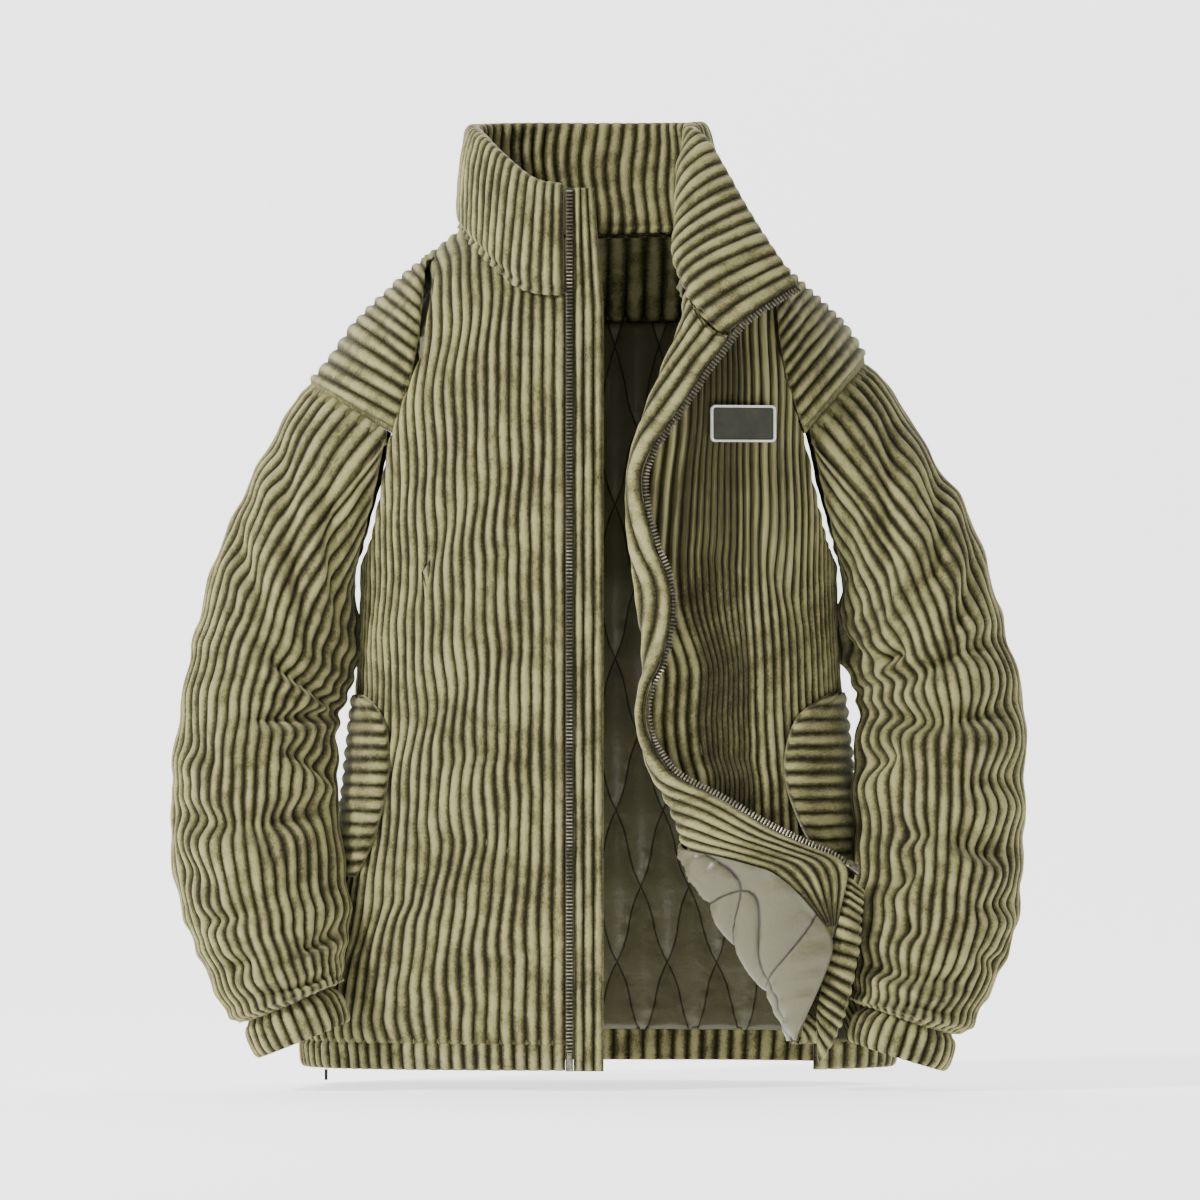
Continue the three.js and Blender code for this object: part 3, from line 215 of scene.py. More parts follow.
QUARTER_X, QUARTER_Y, QUARTER_LENGTH = quarter_tables()


def bilinear(grid, z, part):
    row = np.clip((z - RING_Z[0]) / (RING_Z[-1] - RING_Z[0]), 0, 1) * (len(RING_Z) - 1)
    col = np.clip(part, 0, 1) * (len(PARTS) - 1)
    r = np.minimum(row.astype(int), len(RING_Z) - 2)
    c = np.minimum(col.astype(int), len(PARTS) - 2)
    fr, fc = row - r, col - c
    low = lerp(grid[r, c], grid[r, c + 1], fc)
    high = lerp(grid[r + 1, c], grid[r + 1, c + 1], fc)
    return lerp(low, high, fr)


def ring(g, z):
    """Turn g: 0 front centre, 1 right side, 2 back centre, 3 left side, 4 front centre."""
    g, z = np.broadcast_arrays(np.asarray(g, float) % 4, np.asarray(z, float))
    quarter = np.floor(g)
    part = np.where(quarter % 2 == 0, g - quarter, 1 - (g - quarter))
    x, y = bilinear(QUARTER_X, z, part), bilinear(QUARTER_Y, z, part)
    front = (g < 1) | (g > 3)
    return np.where(g < 2, -x, x), np.where(front, -y, y), front


def quarter_part(x, z):
    """Part of a quarter turn at which the section is a distance x from the centre."""
    x, z = np.broadcast_arrays(np.asarray(x, float), np.asarray(z, float))
    out = np.empty(x.shape)
    for i in np.ndindex(x.shape):
        row = np.clip((z[i] - RING_Z[0]) / (RING_Z[-1] - RING_Z[0]), 0, 1) * (len(RING_Z) - 1)
        r = min(int(row), len(RING_Z) - 2)
        xs = lerp(QUARTER_X[r], QUARTER_X[r + 1], row - r)
        out[i] = np.interp(x[i], xs, PARTS)
    return out


def pucker(x, z):
    total = 0
    for depth, low, size, reach in zip(*(front_puckers[k] for k in ("depth", "z", "size", "reach"))):
        total = total + depth * np.exp(-(((z - low) / size) ** 2) - ((np.abs(x) - 20) / reach) ** 2)
    return total * np.clip((210 - np.abs(x)) / 60, 0, 1)


def wale_end(g):
    x, _, front = ring(g, CHEST_Z)
    x = np.abs(x)
    top = np.where(front, line(front_top, x, "z"), line(back_top, x, "z"))
    return top, line(shoulder_line, x, "ridge"), np.where(front, FRONT_RISE, BACK_RISE)


def reach(g):
    """Distance from the chest up a wale to the panel's top edge."""
    top, ridge, rise = wale_end(g)
    turned = np.arccos(np.clip(1 - (ridge - top) / rise, 0, 1) ** (RIDGE_POWER / 2))
    straight = ridge - rise - CHEST_Z
    curved = RIDGE_STRETCH * rise * (1 - turned / (math.pi / 2))
    return np.where(top <= ridge - rise, top - CHEST_Z, straight + curved)


def torso(g, way):
    """Point of the torso at a turn and a distance up the wale from the chest."""
    g, way = np.broadcast_arrays(np.asarray(g, float), np.asarray(way, float))
    x, y, front = ring(g, np.minimum(CHEST_Z + way, CHEST_Z))
    _, ridge, rise = wale_end(g)
    straight = ridge - rise - CHEST_Z
    turned = (1 - (way - straight) / (RIDGE_STRETCH * rise)) * (math.pi / 2)
    bent = way > straight
    y = np.where(bent, y * np.sign(turned) * np.abs(np.sin(turned)) ** (2 / RIDGE_POWER), y)
    bent_z = ridge - rise * (1 - np.abs(np.cos(turned)) ** (2 / RIDGE_POWER))
    z = np.where(bent, bent_z, CHEST_Z + way)
    return points(x, np.where(front, y + pucker(x, z), y), z)


def unit(v):
    return v / (np.linalg.norm(v, axis=-1, keepdims=True) + 1e-9)


def front_y(x, z):
    """Depth of the front at a place in the front view."""
    half_width = smooth(torso_sections, z, "half_width")
    half_depth = smooth(torso_sections, z, "half_depth")
    across = np.clip(np.abs(x) / half_width, 0, 0.999)
    part = np.clip((line(shoulder_line, np.abs(x), "ridge") - z) / FRONT_RISE, 0, 1)
    share = (1 - (1 - part) ** RIDGE_POWER) ** (1 / RIDGE_POWER)
    return -half_depth * (1 - across**RING_POWER) ** (1 / RING_POWER) * share + pucker(x, z)


print("section length at the chest:", round(4 * QUARTER_LENGTH[-1]), "mm")

# %% [markdown]
# Corduroy is a ribbed pile cloth. Each wale is a soft round ridge between two narrow
# grooves, and is never quite straight or even. The profile is worked out across each
# wale, and slow waves along it push it sideways and make it thicker and thinner.
# The groove's depth is also kept as an attribute, which the pile's colour reads to paint shade into the
# grooves and a highlight on the crests.

# %% Wales and creases
WALE_RISE = 3.2


def wave(a, b, seed):
    """Slow uneven waves from -1 to 1, from a few sines of unlike lengths."""
    total = 0
    for k in range(1, 6):
        turn = seed * 1.7 + k * 2.399
        wa, wb = math.cos(turn) * k, math.sin(turn) * k
        total = total + np.sin(a * wa + b * wb + seed * k) / k
    return total / 1.9


def wale_profile(across, along, seed=0.0, rise=WALE_RISE):
    """Height over the groove at a count of wales across, and millimetres along."""
    count = np.floor(across + 1e-6)
    part = np.clip(across - count, 0, 1)
    slow = np.sin(along / (15 + 5 * np.sin(count * 2.1 + seed)) + count * 1.9)
    tufts = 0.07 * np.sin(along / 3.4 + count * 5.3 + seed)
    width = 1.05 + 0.35 * np.sin(along / 19 + count * 0.7 + seed)
    return rise * np.sin(math.pi * part) ** width * (0.85 + 0.13 * slow + tufts)


def crease(a, b, a0, b0, a1, b1, depth, width):
    """A soft trough (or a ridge, if depth is negative) along a line on the cloth."""
    da, db = a1 - a0, b1 - b0
    length = math.hypot(da, db)
    along = ((a - a0) * da + (b - b0) * db) / length**2
    off = ((a - a0) * db - (b - b0) * da) / length + 0.06 * length * np.sin(math.pi * along)
    ends = np.exp(-np.clip(np.abs(along - 0.5) * 2 - 0.35, 0, None) ** 2 * 5)
    return -depth * np.exp(-((off / width) ** 2)) * ends


def edge_rows(count, fine=0.004):
    """Shares from 0 to 1, closer together at both ends where the cloth turns in."""
    near = np.array([0, 0.5, 1.1, 1.9]) * fine
    middle = np.linspace(0, 1, count + 1)[1:-1]
    middle = middle[(middle > near[-1] * 1.5) & (middle < 1 - near[-1] * 1.5)]
    return np.concatenate([near, middle, 1 - near[::-1]])


def seam_dip(rows, length, depth=1.6, width=4):
    """How far the cloth turns in at its first and last row."""
    near = np.minimum(rows, 1 - rows) * length
    return -depth * np.exp(-((near / width) ** 2))


print("wale profile:", np.round(wale_profile(np.linspace(0, 1, 9), 0), 1))

# %% [markdown]
# A wall of cloth has an outer grid, a plainer inner grid and a rim that joins them.
# The grids are made a mesh here, with a UV map in metres: U runs across the wales and
# V along them.

# %% Walls
made = {}


def grid_normals(grid, closed, inside):
    across = np.roll(grid, -1, 1) - np.roll(grid, 1, 1) if closed else np.gradient(grid, axis=1)
    up = np.gradient(grid, axis=0)
    normal = unit(np.cross(across, up))
    if np.mean(np.sum(normal * (grid - inside), axis=-1)) < 0:
        normal = -normal
    return normal


def mesh_object(name, verts, faces, uvs=None, crest=None, smooth_faces=True):
    mesh = bpy.data.meshes.new(name)
    mesh.from_pydata(verts.tolist(), [], faces)
    if uvs is not None:
        layer = mesh.uv_layers.new(name="cloth")
        layer.data.foreach_set("uv", np.asarray(uvs, np.float32).ravel())
    if crest is not None:
        layer = mesh.attributes.new("crest", "FLOAT", "POINT")
        layer.data.foreach_set("value", np.asarray(crest, np.float32).ravel())
    mesh.update()
    bm = bmesh.new()
    bm.from_mesh(mesh)
    if bm.calc_volume(signed=True) < 0:
        bmesh.ops.reverse_faces(bm, faces=bm.faces)
    bm.to_mesh(mesh)
    bm.free()
    if smooth_faces:
        mesh.polygons.foreach_set("use_smooth", [True] * len(mesh.polygons))
    obj = bpy.data.objects.new(name, mesh)
    bpy.context.collection.objects.link(obj)
    return obj


def wall(name, outer, inner, closed=False, step=4, crest=None, uv=None, both=False):
    """Closes two grids of the same size; the inner one keeps every step-th column."""
    rows, cols = outer.shape[:2]
    keep = np.arange(0, cols, step)
    if not closed and keep[-1] != cols - 1:
        keep = np.append(keep, cols - 1)
    inner = inner[:, keep]
    verts = np.concatenate([outer.reshape(-1, 3), inner.reshape(-1, 3)]) * MM
    out_id = np.arange(rows * cols).reshape(rows, cols)
    in_id = rows * cols + np.arange(rows * len(keep)).reshape(rows, len(keep))
    if uv is None:
        ones = np.zeros((rows, cols))
        uv = np.stack([ones, ones], -1)
    if closed:
        out_id = np.hstack([out_id, out_id[:, :1]])
        in_id = np.hstack([in_id, in_id[:, :1]])
        keep = np.append(keep, cols)
        if uv.shape[1] == cols:
            last = uv[:, -1:] + (uv[:, -1:] - uv[:, -2:-1])
            uv = np.hstack([uv, last])
    faces, uvs = [], []

    def skin(ids, places, flip):
        a, b, c, d = ids[:-1, :-1], ids[:-1, 1:], ids[1:, 1:], ids[1:, :-1]
        ua, ub, uc, ud = (places[s] for s in (
            np.s_[:-1, :-1], np.s_[:-1, 1:], np.s_[1:, 1:], np.s_[1:, :-1]))
        order = (d, c, b, a) if flip else (a, b, c, d)
        places = (ud, uc, ub, ua) if flip else (ua, ub, uc, ud)
        faces.extend(np.stack(order, -1).reshape(-1, 4).tolist())
        uvs.extend(np.stack(places, -2).reshape(-1, 2).tolist())

    skin(out_id, uv, False)
    skin(in_id, uv[:, keep], True)
    for row in (0, rows - 1):
        for j in range(len(keep) - 1):
            run = list(range(keep[j], keep[j + 1] + 1))
            loop = [out_id[row, c] for c in run] + [in_id[row, j + 1], in_id[row, j]]
            place = [uv[row, c] for c in run] + [uv[row, keep[j + 1]], uv[row, keep[j]]]
            if row == 0:
                loop, place = loop[::-1], place[::-1]
            faces.append([int(i) for i in loop])
            uvs.extend([list(p) for p in place])
    if not closed:
        for out_c, in_c, flip in ((0, 0, False), (cols - 1, len(keep) - 1, True)):
            for r in range(rows - 1):
                loop = [out_id[r, out_c], out_id[r + 1, out_c], in_id[r + 1, in_c], in_id[r, in_c]]
                place = [uv[r, out_c], uv[r + 1, out_c], uv[r + 1, out_c], uv[r, out_c]]
                if flip:
                    loop, place = loop[::-1], place[::-1]
                faces.append([int(i) for i in loop])
                uvs.extend([list(p) for p in place])
    if crest is not None:
        behind = crest.ravel() if both else np.full(inner.shape[0] * inner.shape[1], 0.55)
        crest = np.concatenate([crest.ravel(), behind])
    return mesh_object(name, verts, faces, uvs, crest)


def lengths_across(grid):
    return np.linalg.norm(np.diff(grid, axis=1), axis=2).sum(1)


def lengths_along(grid):
    return np.linalg.norm(np.diff(grid, axis=0), axis=2).sum(0)


def grid_area(grid, closed=False):
    if closed:
        grid = np.concatenate([grid, grid[:, :1]], axis=1)
    side = np.cross(grid[1:, 1:] - grid[:-1, :-1], grid[1:, :-1] - grid[:-1, 1:])
    return np.linalg.norm(side, axis=2).sum() / 2


def cloth(obj, grid, nodes, slot, closed=False):
    """Measures a sheet's cut from its plain grid, in metres, and prints it."""
    whole = np.concatenate([grid, grid[:, :1]], axis=1) if closed else grid
    width = lengths_across(whole).max() * MM
    length = lengths_along(whole).max() * MM
    area = grid_area(grid, closed) * MM * MM
    area = min(max(area, 0.31 * width * length), width * length)
    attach(obj, "root")
    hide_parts(*nodes)
    made[obj.name] = slot
    print(f"{obj.name}: cut {width:.3f} x {length:.3f} m, {area:.4f} m2, "
          f"{len(obj.data.polygons)} faces")
    return obj


SEAM_TUCK, SEAM_DROP = 3.0, 4.0


def tuck(values, side, way=None):
    """Repeats a grid's edge on one side; with a way, the new edge is moved along it."""
    if side in ("left", "right"):
        return tuck(values.swapaxes(0, 1), {"left": "bottom", "right": "top"}[side], way).swapaxes(0, 1)
    edge, near = (values[:1], values[5:6]) if side == "bottom" else (values[-1:], values[-6:-5])
    if way is not None:
        edge = edge + unit(edge - near) * way
    return np.concatenate([edge, values] if side == "bottom" else [values, edge])


def ribbed(node, grid, across, along, normal, closed=False, extra=0.0, dip=0.0, tucks="",
           thickness=4.2, rise=WALE_RISE, seed=0.0, step=4, share=1.0,
           both=False):
    """A ribbed wall: across counts wales, along is millimetres, extra is creases."""
    plain = grid
    across, along, extra, dip, share = (
        np.broadcast_to(value, grid.shape[:2]) for value in (across, along, extra, dip, share))
    for side in tucks.split():
        grid = tuck(grid, side, SEAM_TUCK)
        across, along, extra, share, normal = (
            tuck(value, side) for value in (across, along, extra, share, normal))
        dip = tuck(dip, side).copy()
        edge = {"bottom": np.s_[0], "top": np.s_[-1], "left": np.s_[:, 0], "right": np.s_[:, -1]}
        dip[edge[side]] = -SEAM_DROP
    height = wale_profile(across, along, seed, rise) * share
    drop = np.minimum(dip + SEAM_DROP - 1, 0)
    outer = grid + normal * (height - rise + extra + dip)[..., None]
    inner = grid + normal * (extra - thickness + drop - (height * 0.8 if both else 0))[..., None]
    uv = np.stack([across * 0.01, along * MM], -1)
    crest = height / rise
    obj = wall(node + "_cloth", outer, inner, closed, 1 if both else step, crest, uv, both)
    return cloth(obj, plain, [node], "corduroy", closed)


AXIS = np.array([0, 0, -300.0])

# %% [markdown]
# The right front and the back hang straight from the shoulders. Their wales go from
# the hem seam to the neckline, shoulder seam or armhole, so each column of the grid
# ends at its own height. Padding makes soft level puckers where the zip and the side
# seam hold the cloth short.

# %% Right front and back
def panel(turn_of, f, v):
    """Grid over shares f across and v up, each column up to the panel's top edge."""
    top = reach(turn_of(f, CHEST_Z))
    bottom = HEM_SEAM_Z - CHEST_Z
    way = bottom + np.outer(v, top - bottom)
    shares = np.broadcast_to(f, way.shape)
    turns = turn_of(shares, np.minimum(CHEST_Z + way, CHEST_Z))
    return turns, way, torso(turns, way)


EDGE_PART = quarter_part(np.full(len(RING_Z), -RIGHT_EDGE_X), RING_Z)


def right_turn(f, z):
    return lerp(np.interp(z, RING_Z, EDGE_PART), 1 - SEAM_PART, f)


def back_turn(f, z):
    return lerp(1 + SEAM_PART, 3 - SEAM_PART, f)


def front_creases(x, z):
    """Pulls of the quilted front: x is the distance from the centre."""
    level = 2.0 * np.cos((z + 20 * np.sin(x / 70)) * 2 * math.pi / 108) * np.clip((200 - x) / 60, 0, 1)
    return 1.9 * front_pulls(x, z) - 0.6 + 0.75 * level


def front_pulls(x, z):
    total = crease(x, z, 32, -262, 120, -272, 2.2, 9)
    total = total + crease(x, z, 30, -350, 96, -340, 2.0, 8)
    total = total + crease(x, z, 30, -424, 150, -436, 2.6, 9)
    total = total + crease(x, z, 34, -458, 90, -462, 1.6, 7)
    total = total + crease(x, z, 30, -512, 170, -500, 2.6, 10)
    total = total + crease(x, z, 90, -560, 190, -548, 1.8, 9)
    total = total + crease(x, z, 30, -598, 140, -610, 2.4, 9)
    total = total + crease(x, z, 60, -640, 200, -632, 2.0, 8)
    total = total + crease(x, z, 176, -320, 120, -210, 2.0, 10)
    return total


def back_creases(x, z):
    total = crease(x, z, -150, -250, 120, -262, 2.0, 12)
    total = total + crease(x, z, -60, -340, 160, -356, 2.2, 11)
    total = total + crease(x, z, -180, -430, 40, -420, 2.4, 11)
    total = total + crease(x, z, -40, -500, 180, -512, 2.2, 11)
    total = total + crease(x, z, -200, -588, 20, -574, 2.6, 12)
    total = total + crease(x, z, 30, -630, 210, -622, 2.4, 10)
    total = total + crease(x, z, -160, -170, -60, -110, 1.8, 12)
    return total


def torso_panel(node, turn_of, wales, creases, columns, rows=124, seed=0.0):
    f = np.linspace(0, 1, wales * columns + 1)
    v = edge_rows(rows)
    turns, way, grid = panel(turn_of, f, v)
    slide = 0.30 * np.sin(way / 61 + seed) + 0.22 * np.sin(way / 24 + f * 5) \
        + 0.12 * np.sin(way / 11 + f * 17)
    shifted = np.clip(f + slide * np.sin(math.pi * f) / wales, 0, 1)
    grid = torso(turn_of(shifted, np.minimum(CHEST_Z + way, CHEST_Z)), way)
    extra = creases(grid[..., 0] if node == "back" else np.abs(grid[..., 0]), grid[..., 2])
    dip = seam_dip(v, 670)[:, None]
    normal = grid_normals(grid, False, AXIS)
    tucks = "top bottom right" + (" left" if node == "back" else "")
    return ribbed(node, grid, f * wales, way, normal, extra=extra, dip=dip, seed=seed, tucks=tucks)


torso_panel("front_right", right_turn, 27, front_creases, 8, seed=1.0)
torso_panel("back", back_turn, 50, back_creases, 6, seed=2.0)

# %% [markdown]
# The left front hangs open, and its front edge rolls outwards along its whole length.
# At the hem the corner is turned right over. Each row of its grid runs from the zip's
# edge, over the roll and round to the side seam, so cloth, facing and lining can all
# be laid on the same rows, one behind the other.

# %% Left front's rows
ROLL_SETBACK, ROLL_PULL, FLAP_FLATTEN = 16, 14, 0.15
JOIN_PART, JOIN_CLEAR, JOIN_SHARE, FACING_SHARE = 0.45, 0.12, 0.47, 0.19
SIDE_TURN = 3 + 3 * SEAM_PART


def way_at(g, level):
    """Level 0 is the hem seam, 1 the chest and 2 the panel's top edge."""
    below = (np.minimum(level, 1) - 1) * (CHEST_Z - HEM_SEAM_Z)
    return np.where(level <= 1, below, (level - 1) * reach(g))


def left_row(level):
    z = lerp(HEM_SEAM_Z, CHEST_Z, min(level, 1))
    roll_z = z
    for _ in range(6):
        start_x = smooth(left_edge, roll_z, "roll_x") + ROLL_SETBACK
        part = float(quarter_part(np.array([start_x]), np.array([z]))[0])
        roll_z = float(torso(4 - part, way_at(4 - part, level))[2])
    end_x, lift = smooth(left_edge, roll_z, "end_x"), smooth(left_edge, roll_z, "lift")
    end_z = roll_z + smooth(left_edge, roll_z, "end_z") - np.clip(roll_z, -655, -19)
    t = np.linspace(0, 1, 61)
    w = [(1 - t) ** 3, 3 * (1 - t) ** 2 * t, 3 * (1 - t) * t**2, t**3]
    x = w[3] * start_x + (w[2] + w[1]) * (start_x - ROLL_PULL) + w[0] * end_x
    height = lift * (w[1] + w[0])
    at_z = lerp(roll_z, end_z, (1 - t) ** 2 * (1 + 2 * t))
    flap = points(x, front_y(x * (1 - FLAP_FLATTEN * height / lift), at_z) - height, at_z)
    lengths = np.concatenate([[0], np.cumsum(np.linalg.norm(np.diff(flap, axis=0), axis=1))])
    at_roll = lengths[-1]
    total_part = np.interp(z, RING_Z, QUARTER_LENGTH)
    width = (4 - part - SIDE_TURN) * total_part
    t = np.linspace(0, 1, 121)[1:]
    g = lerp(4 - part, SIDE_TURN, t)
    line_points = np.concatenate([flap, torso(g, way_at(g, level))])
    lengths = np.concatenate([lengths, at_roll + width * t])
    total = lengths[-1]
    share = (1 - max(part + JOIN_CLEAR, JOIN_PART)) / (1 - part)
    facing = float(np.clip(smooth(left_edge, roll_z, "facing"), 0, FACING_WIDTH))
    return dict(points=line_points, lengths=lengths, total=total, z=z, at_roll=at_roll,
                joined=total - share * (total - at_roll), facing=facing, roll_z=roll_z)


def left_levels(rows_low, rows_high):
    return np.concatenate([np.linspace(0, 1, rows_low)[:-1], 1 + edge_rows(rows_high)[4:]])


def left_distance(row, f):
    """Distances from the end edge: the facing, the join, then fixed turns to the side."""
    past = (f - FACING_SHARE) / (JOIN_SHARE - FACING_SHARE)
    middle = lerp(FACING_WIDTH, row["joined"], past)
    last = lerp(row["joined"], row["total"], (f - JOIN_SHARE) / (1 - JOIN_SHARE))
    first = FACING_WIDTH * f / FACING_SHARE
    return np.where(f < FACING_SHARE, first, np.where(f < JOIN_SHARE, middle, last))


def soften(grid, passes=2):
    for _ in range(passes):
        grid[1:-1] = (grid[:-2] + 2 * grid[1:-1] + grid[2:]) / 4
        grid[:, 1:-1] = (grid[:, :-2] + 2 * grid[:, 1:-1] + grid[:, 2:]) / 4
    return grid


def left_grid(rows, shares_of):
    """Points and outward normals of the left front at each row's shares."""
    distance = np.array([left_distance(row, shares_of(row)) for row in rows])
    grid = np.array([
        np.stack([np.interp(d, row["lengths"], row["points"][:, k]) for k in range(3)], -1)
        for row, d in zip(rows, distance)
    ])
    grid = soften(grid)
    normal = unit(np.cross(np.gradient(grid, axis=1), np.gradient(grid, axis=0)))
    return distance, grid, unit(soften(normal, 3))


LEFT_ROWS = [left_row(level) for level in left_levels(96, 56)]
print("left front rows:", len(LEFT_ROWS), "longest", round(max(r["total"] for r in LEFT_ROWS)))

# %% Left front's cloth
LEFT_WALES = 33


def even_shares(count):
    return lambda row: np.linspace(0, 1, count + 1)


def left_front():
    distance, grid, normal = left_grid(LEFT_ROWS, even_shares(LEFT_WALES * 7))
    pitch = np.gradient(distance, axis=1) * 7
    share = np.clip(pitch / 9, 0.15, 1)
    along = np.array([row["z"] for row in LEFT_ROWS])[:, None]
    rolled = np.array([row["at_roll"] for row in LEFT_ROWS])[:, None]
    flat = np.clip((distance - rolled - 20) / 30, 0, 1)
    extra = front_creases(np.abs(grid[..., 0]), grid[..., 2]) * flat
    up = np.concatenate([[0], np.cumsum(np.linalg.norm(np.diff(grid[:, -1], axis=0), axis=1))])
    dip = seam_dip(up / up[-1], up[-1])[:, None]
    across = np.linspace(0, LEFT_WALES, distance.shape[1])
    ribbed("front_left", grid, across, up[:, None] + 0 * along, normal, extra=extra, dip=dip,
           seed=3.0, share=share, tucks="top bottom right")


left_front()

# %% Left facing
def facing_share(row):
    return row["facing"] / FACING_WIDTH * FACING_SHARE


def row_ups(rows):
    ends = np.array([row["points"][60] for row in rows])
    return np.concatenate([[0], np.cumsum(np.linalg.norm(np.diff(ends, axis=0), axis=1))])


def facing_left():
    rows = [row for row in LEFT_ROWS if row["roll_z"] > -597]
    wales = 6
    distance, grid, normal = left_grid(
        rows, lambda row: np.linspace(0, max(facing_share(row) - 0.003, 0.004), wales * 8 + 1))
    grid = grid - normal * 8.6
    up = row_ups(rows)
    share = np.clip(np.gradient(distance, axis=1) * 8 / 8, 0.1, 1)
    ribbed("facing_left", grid, np.linspace(0, wales, distance.shape[1]), up[:, None], -normal,
           thickness=3.8, seed=4.0, share=share)


facing_left()

# %% [markdown]
# The lining is a quilted satin. Crossing lines of stitching, slightly curved, hold it to
# the wadding, and the satin puffs up in soft diamonds between them. The puff is a
# product of two waves, so it falls to nothing along every stitched line.

# %% Quilted lining
QUILT_WIDTH, QUILT_HEIGHT, QUILT_CURVE = 88, 128, 0.035
LINING_DEPTH = 8.8


def quilt_puff(a, z):
    up = z / QUILT_HEIGHT + QUILT_CURVE * np.sin(4 * math.pi * z / QUILT_HEIGHT)
    one = np.abs(np.sin(math.pi * (a / QUILT_WIDTH + up)))
    other = np.abs(np.sin(math.pi * (a / QUILT_WIDTH - up)))
    both = one * other
    pulls = 0.08 * np.sin(z / 3.4 + a / 9) * np.exp(-((both - 0.16) / 0.12) ** 2)
    return both**0.6 + pulls + 0.07 * wave(a / 30, z / 24, 2.0) * both


def satin(node, grid, inward, across, up, deep, high=6.5, step=2, ripple=0.0):
    """A thin quilted sheet on a grid, with its puffs on the inward side."""
    puff = quilt_puff(across, up) * high
    stitch = 0.8 * np.exp(-((puff / high) / 0.16) ** 2)
    shown = grid + inward * (deep + 1.4 + puff - stitch + ripple)[..., None]
    back_side = grid + inward * (deep + puff * 0.5)[..., None]
    uv = np.stack([across * MM, up * MM], -1)
    obj = wall(node + "_cloth", shown, back_side, False, step, puff / high, uv)
    return cloth(obj, grid, [node], "satin")


def lining_panel(node, turn_of, f, top_of, seed_x):
    v = np.linspace(0, 1, 160)
    bottom = HEM_SEAM_Z - CHEST_Z + 1
    top = top_of(f, reach(turn_of(f, CHEST_Z)))
    way = bottom + np.outer(v, top - bottom)
    turns = turn_of(np.broadcast_to(f, way.shape), np.minimum(CHEST_Z + way, CHEST_Z))
    grid = torso(turns, way)
    inward = -grid_normals(grid, False, AXIS)
    across = np.broadcast_to(f, way.shape) * lengths_across(grid).max() / (f[-1] - f[0]) + seed_x
    edge = np.minimum(np.minimum(v, 1 - v)[:, None] * 40, 1) * np.ones_like(f)
    edge = edge * np.minimum(np.minimum(f - f[0], f[-1] - f) * 40 + 0.1, 1)
    return satin(node, grid, inward, across, way, LINING_DEPTH - 2.5 + edge * 2.5)


FACING_FROM, FACING_TO, FACING_WAY = 7 / 24, 17 / 24, 208


def back_lining_top(f, top):
    past = np.clip((np.abs(f - 0.5) - (FACING_TO - 0.5) - 0.004) / 0.02, 0, 1)
    share = past * past * (3 - 2 * past)
    return lerp(np.minimum(FACING_WAY - 0.5, top - 1), top - 2, share)


QUILT_START = -580 / 2 + 13
lining_panel("lining_back", back_turn, np.linspace(0.002, 0.998, 180), back_lining_top, QUILT_START)
lining_panel("lining_right", right_turn, np.linspace(1 / 12, 0.998, 90),
             lambda f, top: top - 2, 0.0)

# %% Neck facing and left lining
def neck_facing():
    f = np.linspace(FACING_FROM, FACING_TO, 15 * 8 + 1)
    v = edge_rows(40, 0.012)
    turns = np.broadcast_to(back_turn(f, 0), (len(v), len(f)))
    way = FACING_WAY + 0.5 + np.outer(v, reach(turns[0]) - 1 - FACING_WAY)
    slide = 0.0016 * np.sin(way / 19) * np.sin(math.pi * (f - f[0]) / (f[-1] - f[0]))
    grid = torso(turns + slide, way)
    inward = -grid_normals(grid, False, AXIS)
    ribbed("facing_neck", grid + inward * 9.2, np.linspace(0, 15, len(f)), way, inward,
           dip=seam_dip(v, 110)[:, None], thickness=3.8, seed=5.0)


def lining_left():
    rows = LEFT_ROWS

    def shares(row):
        start = max(facing_share(row) - 0.002, 0.0)
        return np.concatenate([np.linspace(start, FACING_SHARE, 24)[:-1],
                               np.linspace(FACING_SHARE, 0.998, 125)])

    distance, grid, normal = left_grid(rows, shares)
    up = row_ups(rows)[:, None] - 378 + 0 * distance
    rolled = np.array([row["at_roll"] for row in rows])[:, None]
    deep = lerp(5.2, LINING_DEPTH, np.clip((distance - rolled - 10) / 40, 0, 1))
    near = distance - distance[:, :1]
    ripple = 2.4 * np.sin(up / 3.1 + 1.5 * np.sin(up / 17) + near / 21) * np.exp(-near / 24) \
        * np.clip(near / 5, 0, 1)
    satin("lining_left", grid, -normal, distance, up, deep + 1.2, high=6.5, ripple=ripple)


neck_facing()
lining_left()

# %% [markdown]
# The hem is a band with elastic in it. Its wales are drawn together, so they stand
# deeper and less even than on the panels, and the band rolls in at both edges.

# %% Hem band
def band(node, grid, along, wales, normal, thickness, seed, tucks, closed=False):
    f = np.linspace(0, wales, grid.shape[1] + (1 if closed else 0))[: grid.shape[1]]
    rows = np.linspace(0, 1, grid.shape[0])
    round_in = -2.6 * np.abs(2 * rows - 1)[:, None] ** 6
    pinch = 1.5 * wave(f / 1.7, seed * 3 + 0 * f, seed)[None, :] * np.sin(math.pi * rows)[:, None]
    gathers = round_in + pinch
    return ribbed(node, grid, f, along, normal, closed=closed, extra=0.0, dip=gathers,
                  thickness=thickness, rise=3.6, seed=seed, both=True,
                  tucks=tucks)


def hem(node, turn_of, wales, seed):
    f = np.linspace(0, 1, wales * 8 + 1)
    z = np.linspace(HEM_BOTTOM_Z, HEM_SEAM_Z - 0.3, 16)
    shape = (len(z), len(f))
    zz = np.broadcast_to(z[:, None], shape)
    grid = torso(turn_of(np.broadcast_to(f, shape), zz), zz - CHEST_Z)
    band(node, grid, zz, wales, grid_normals(grid, False, AXIS), 6, seed, "top")


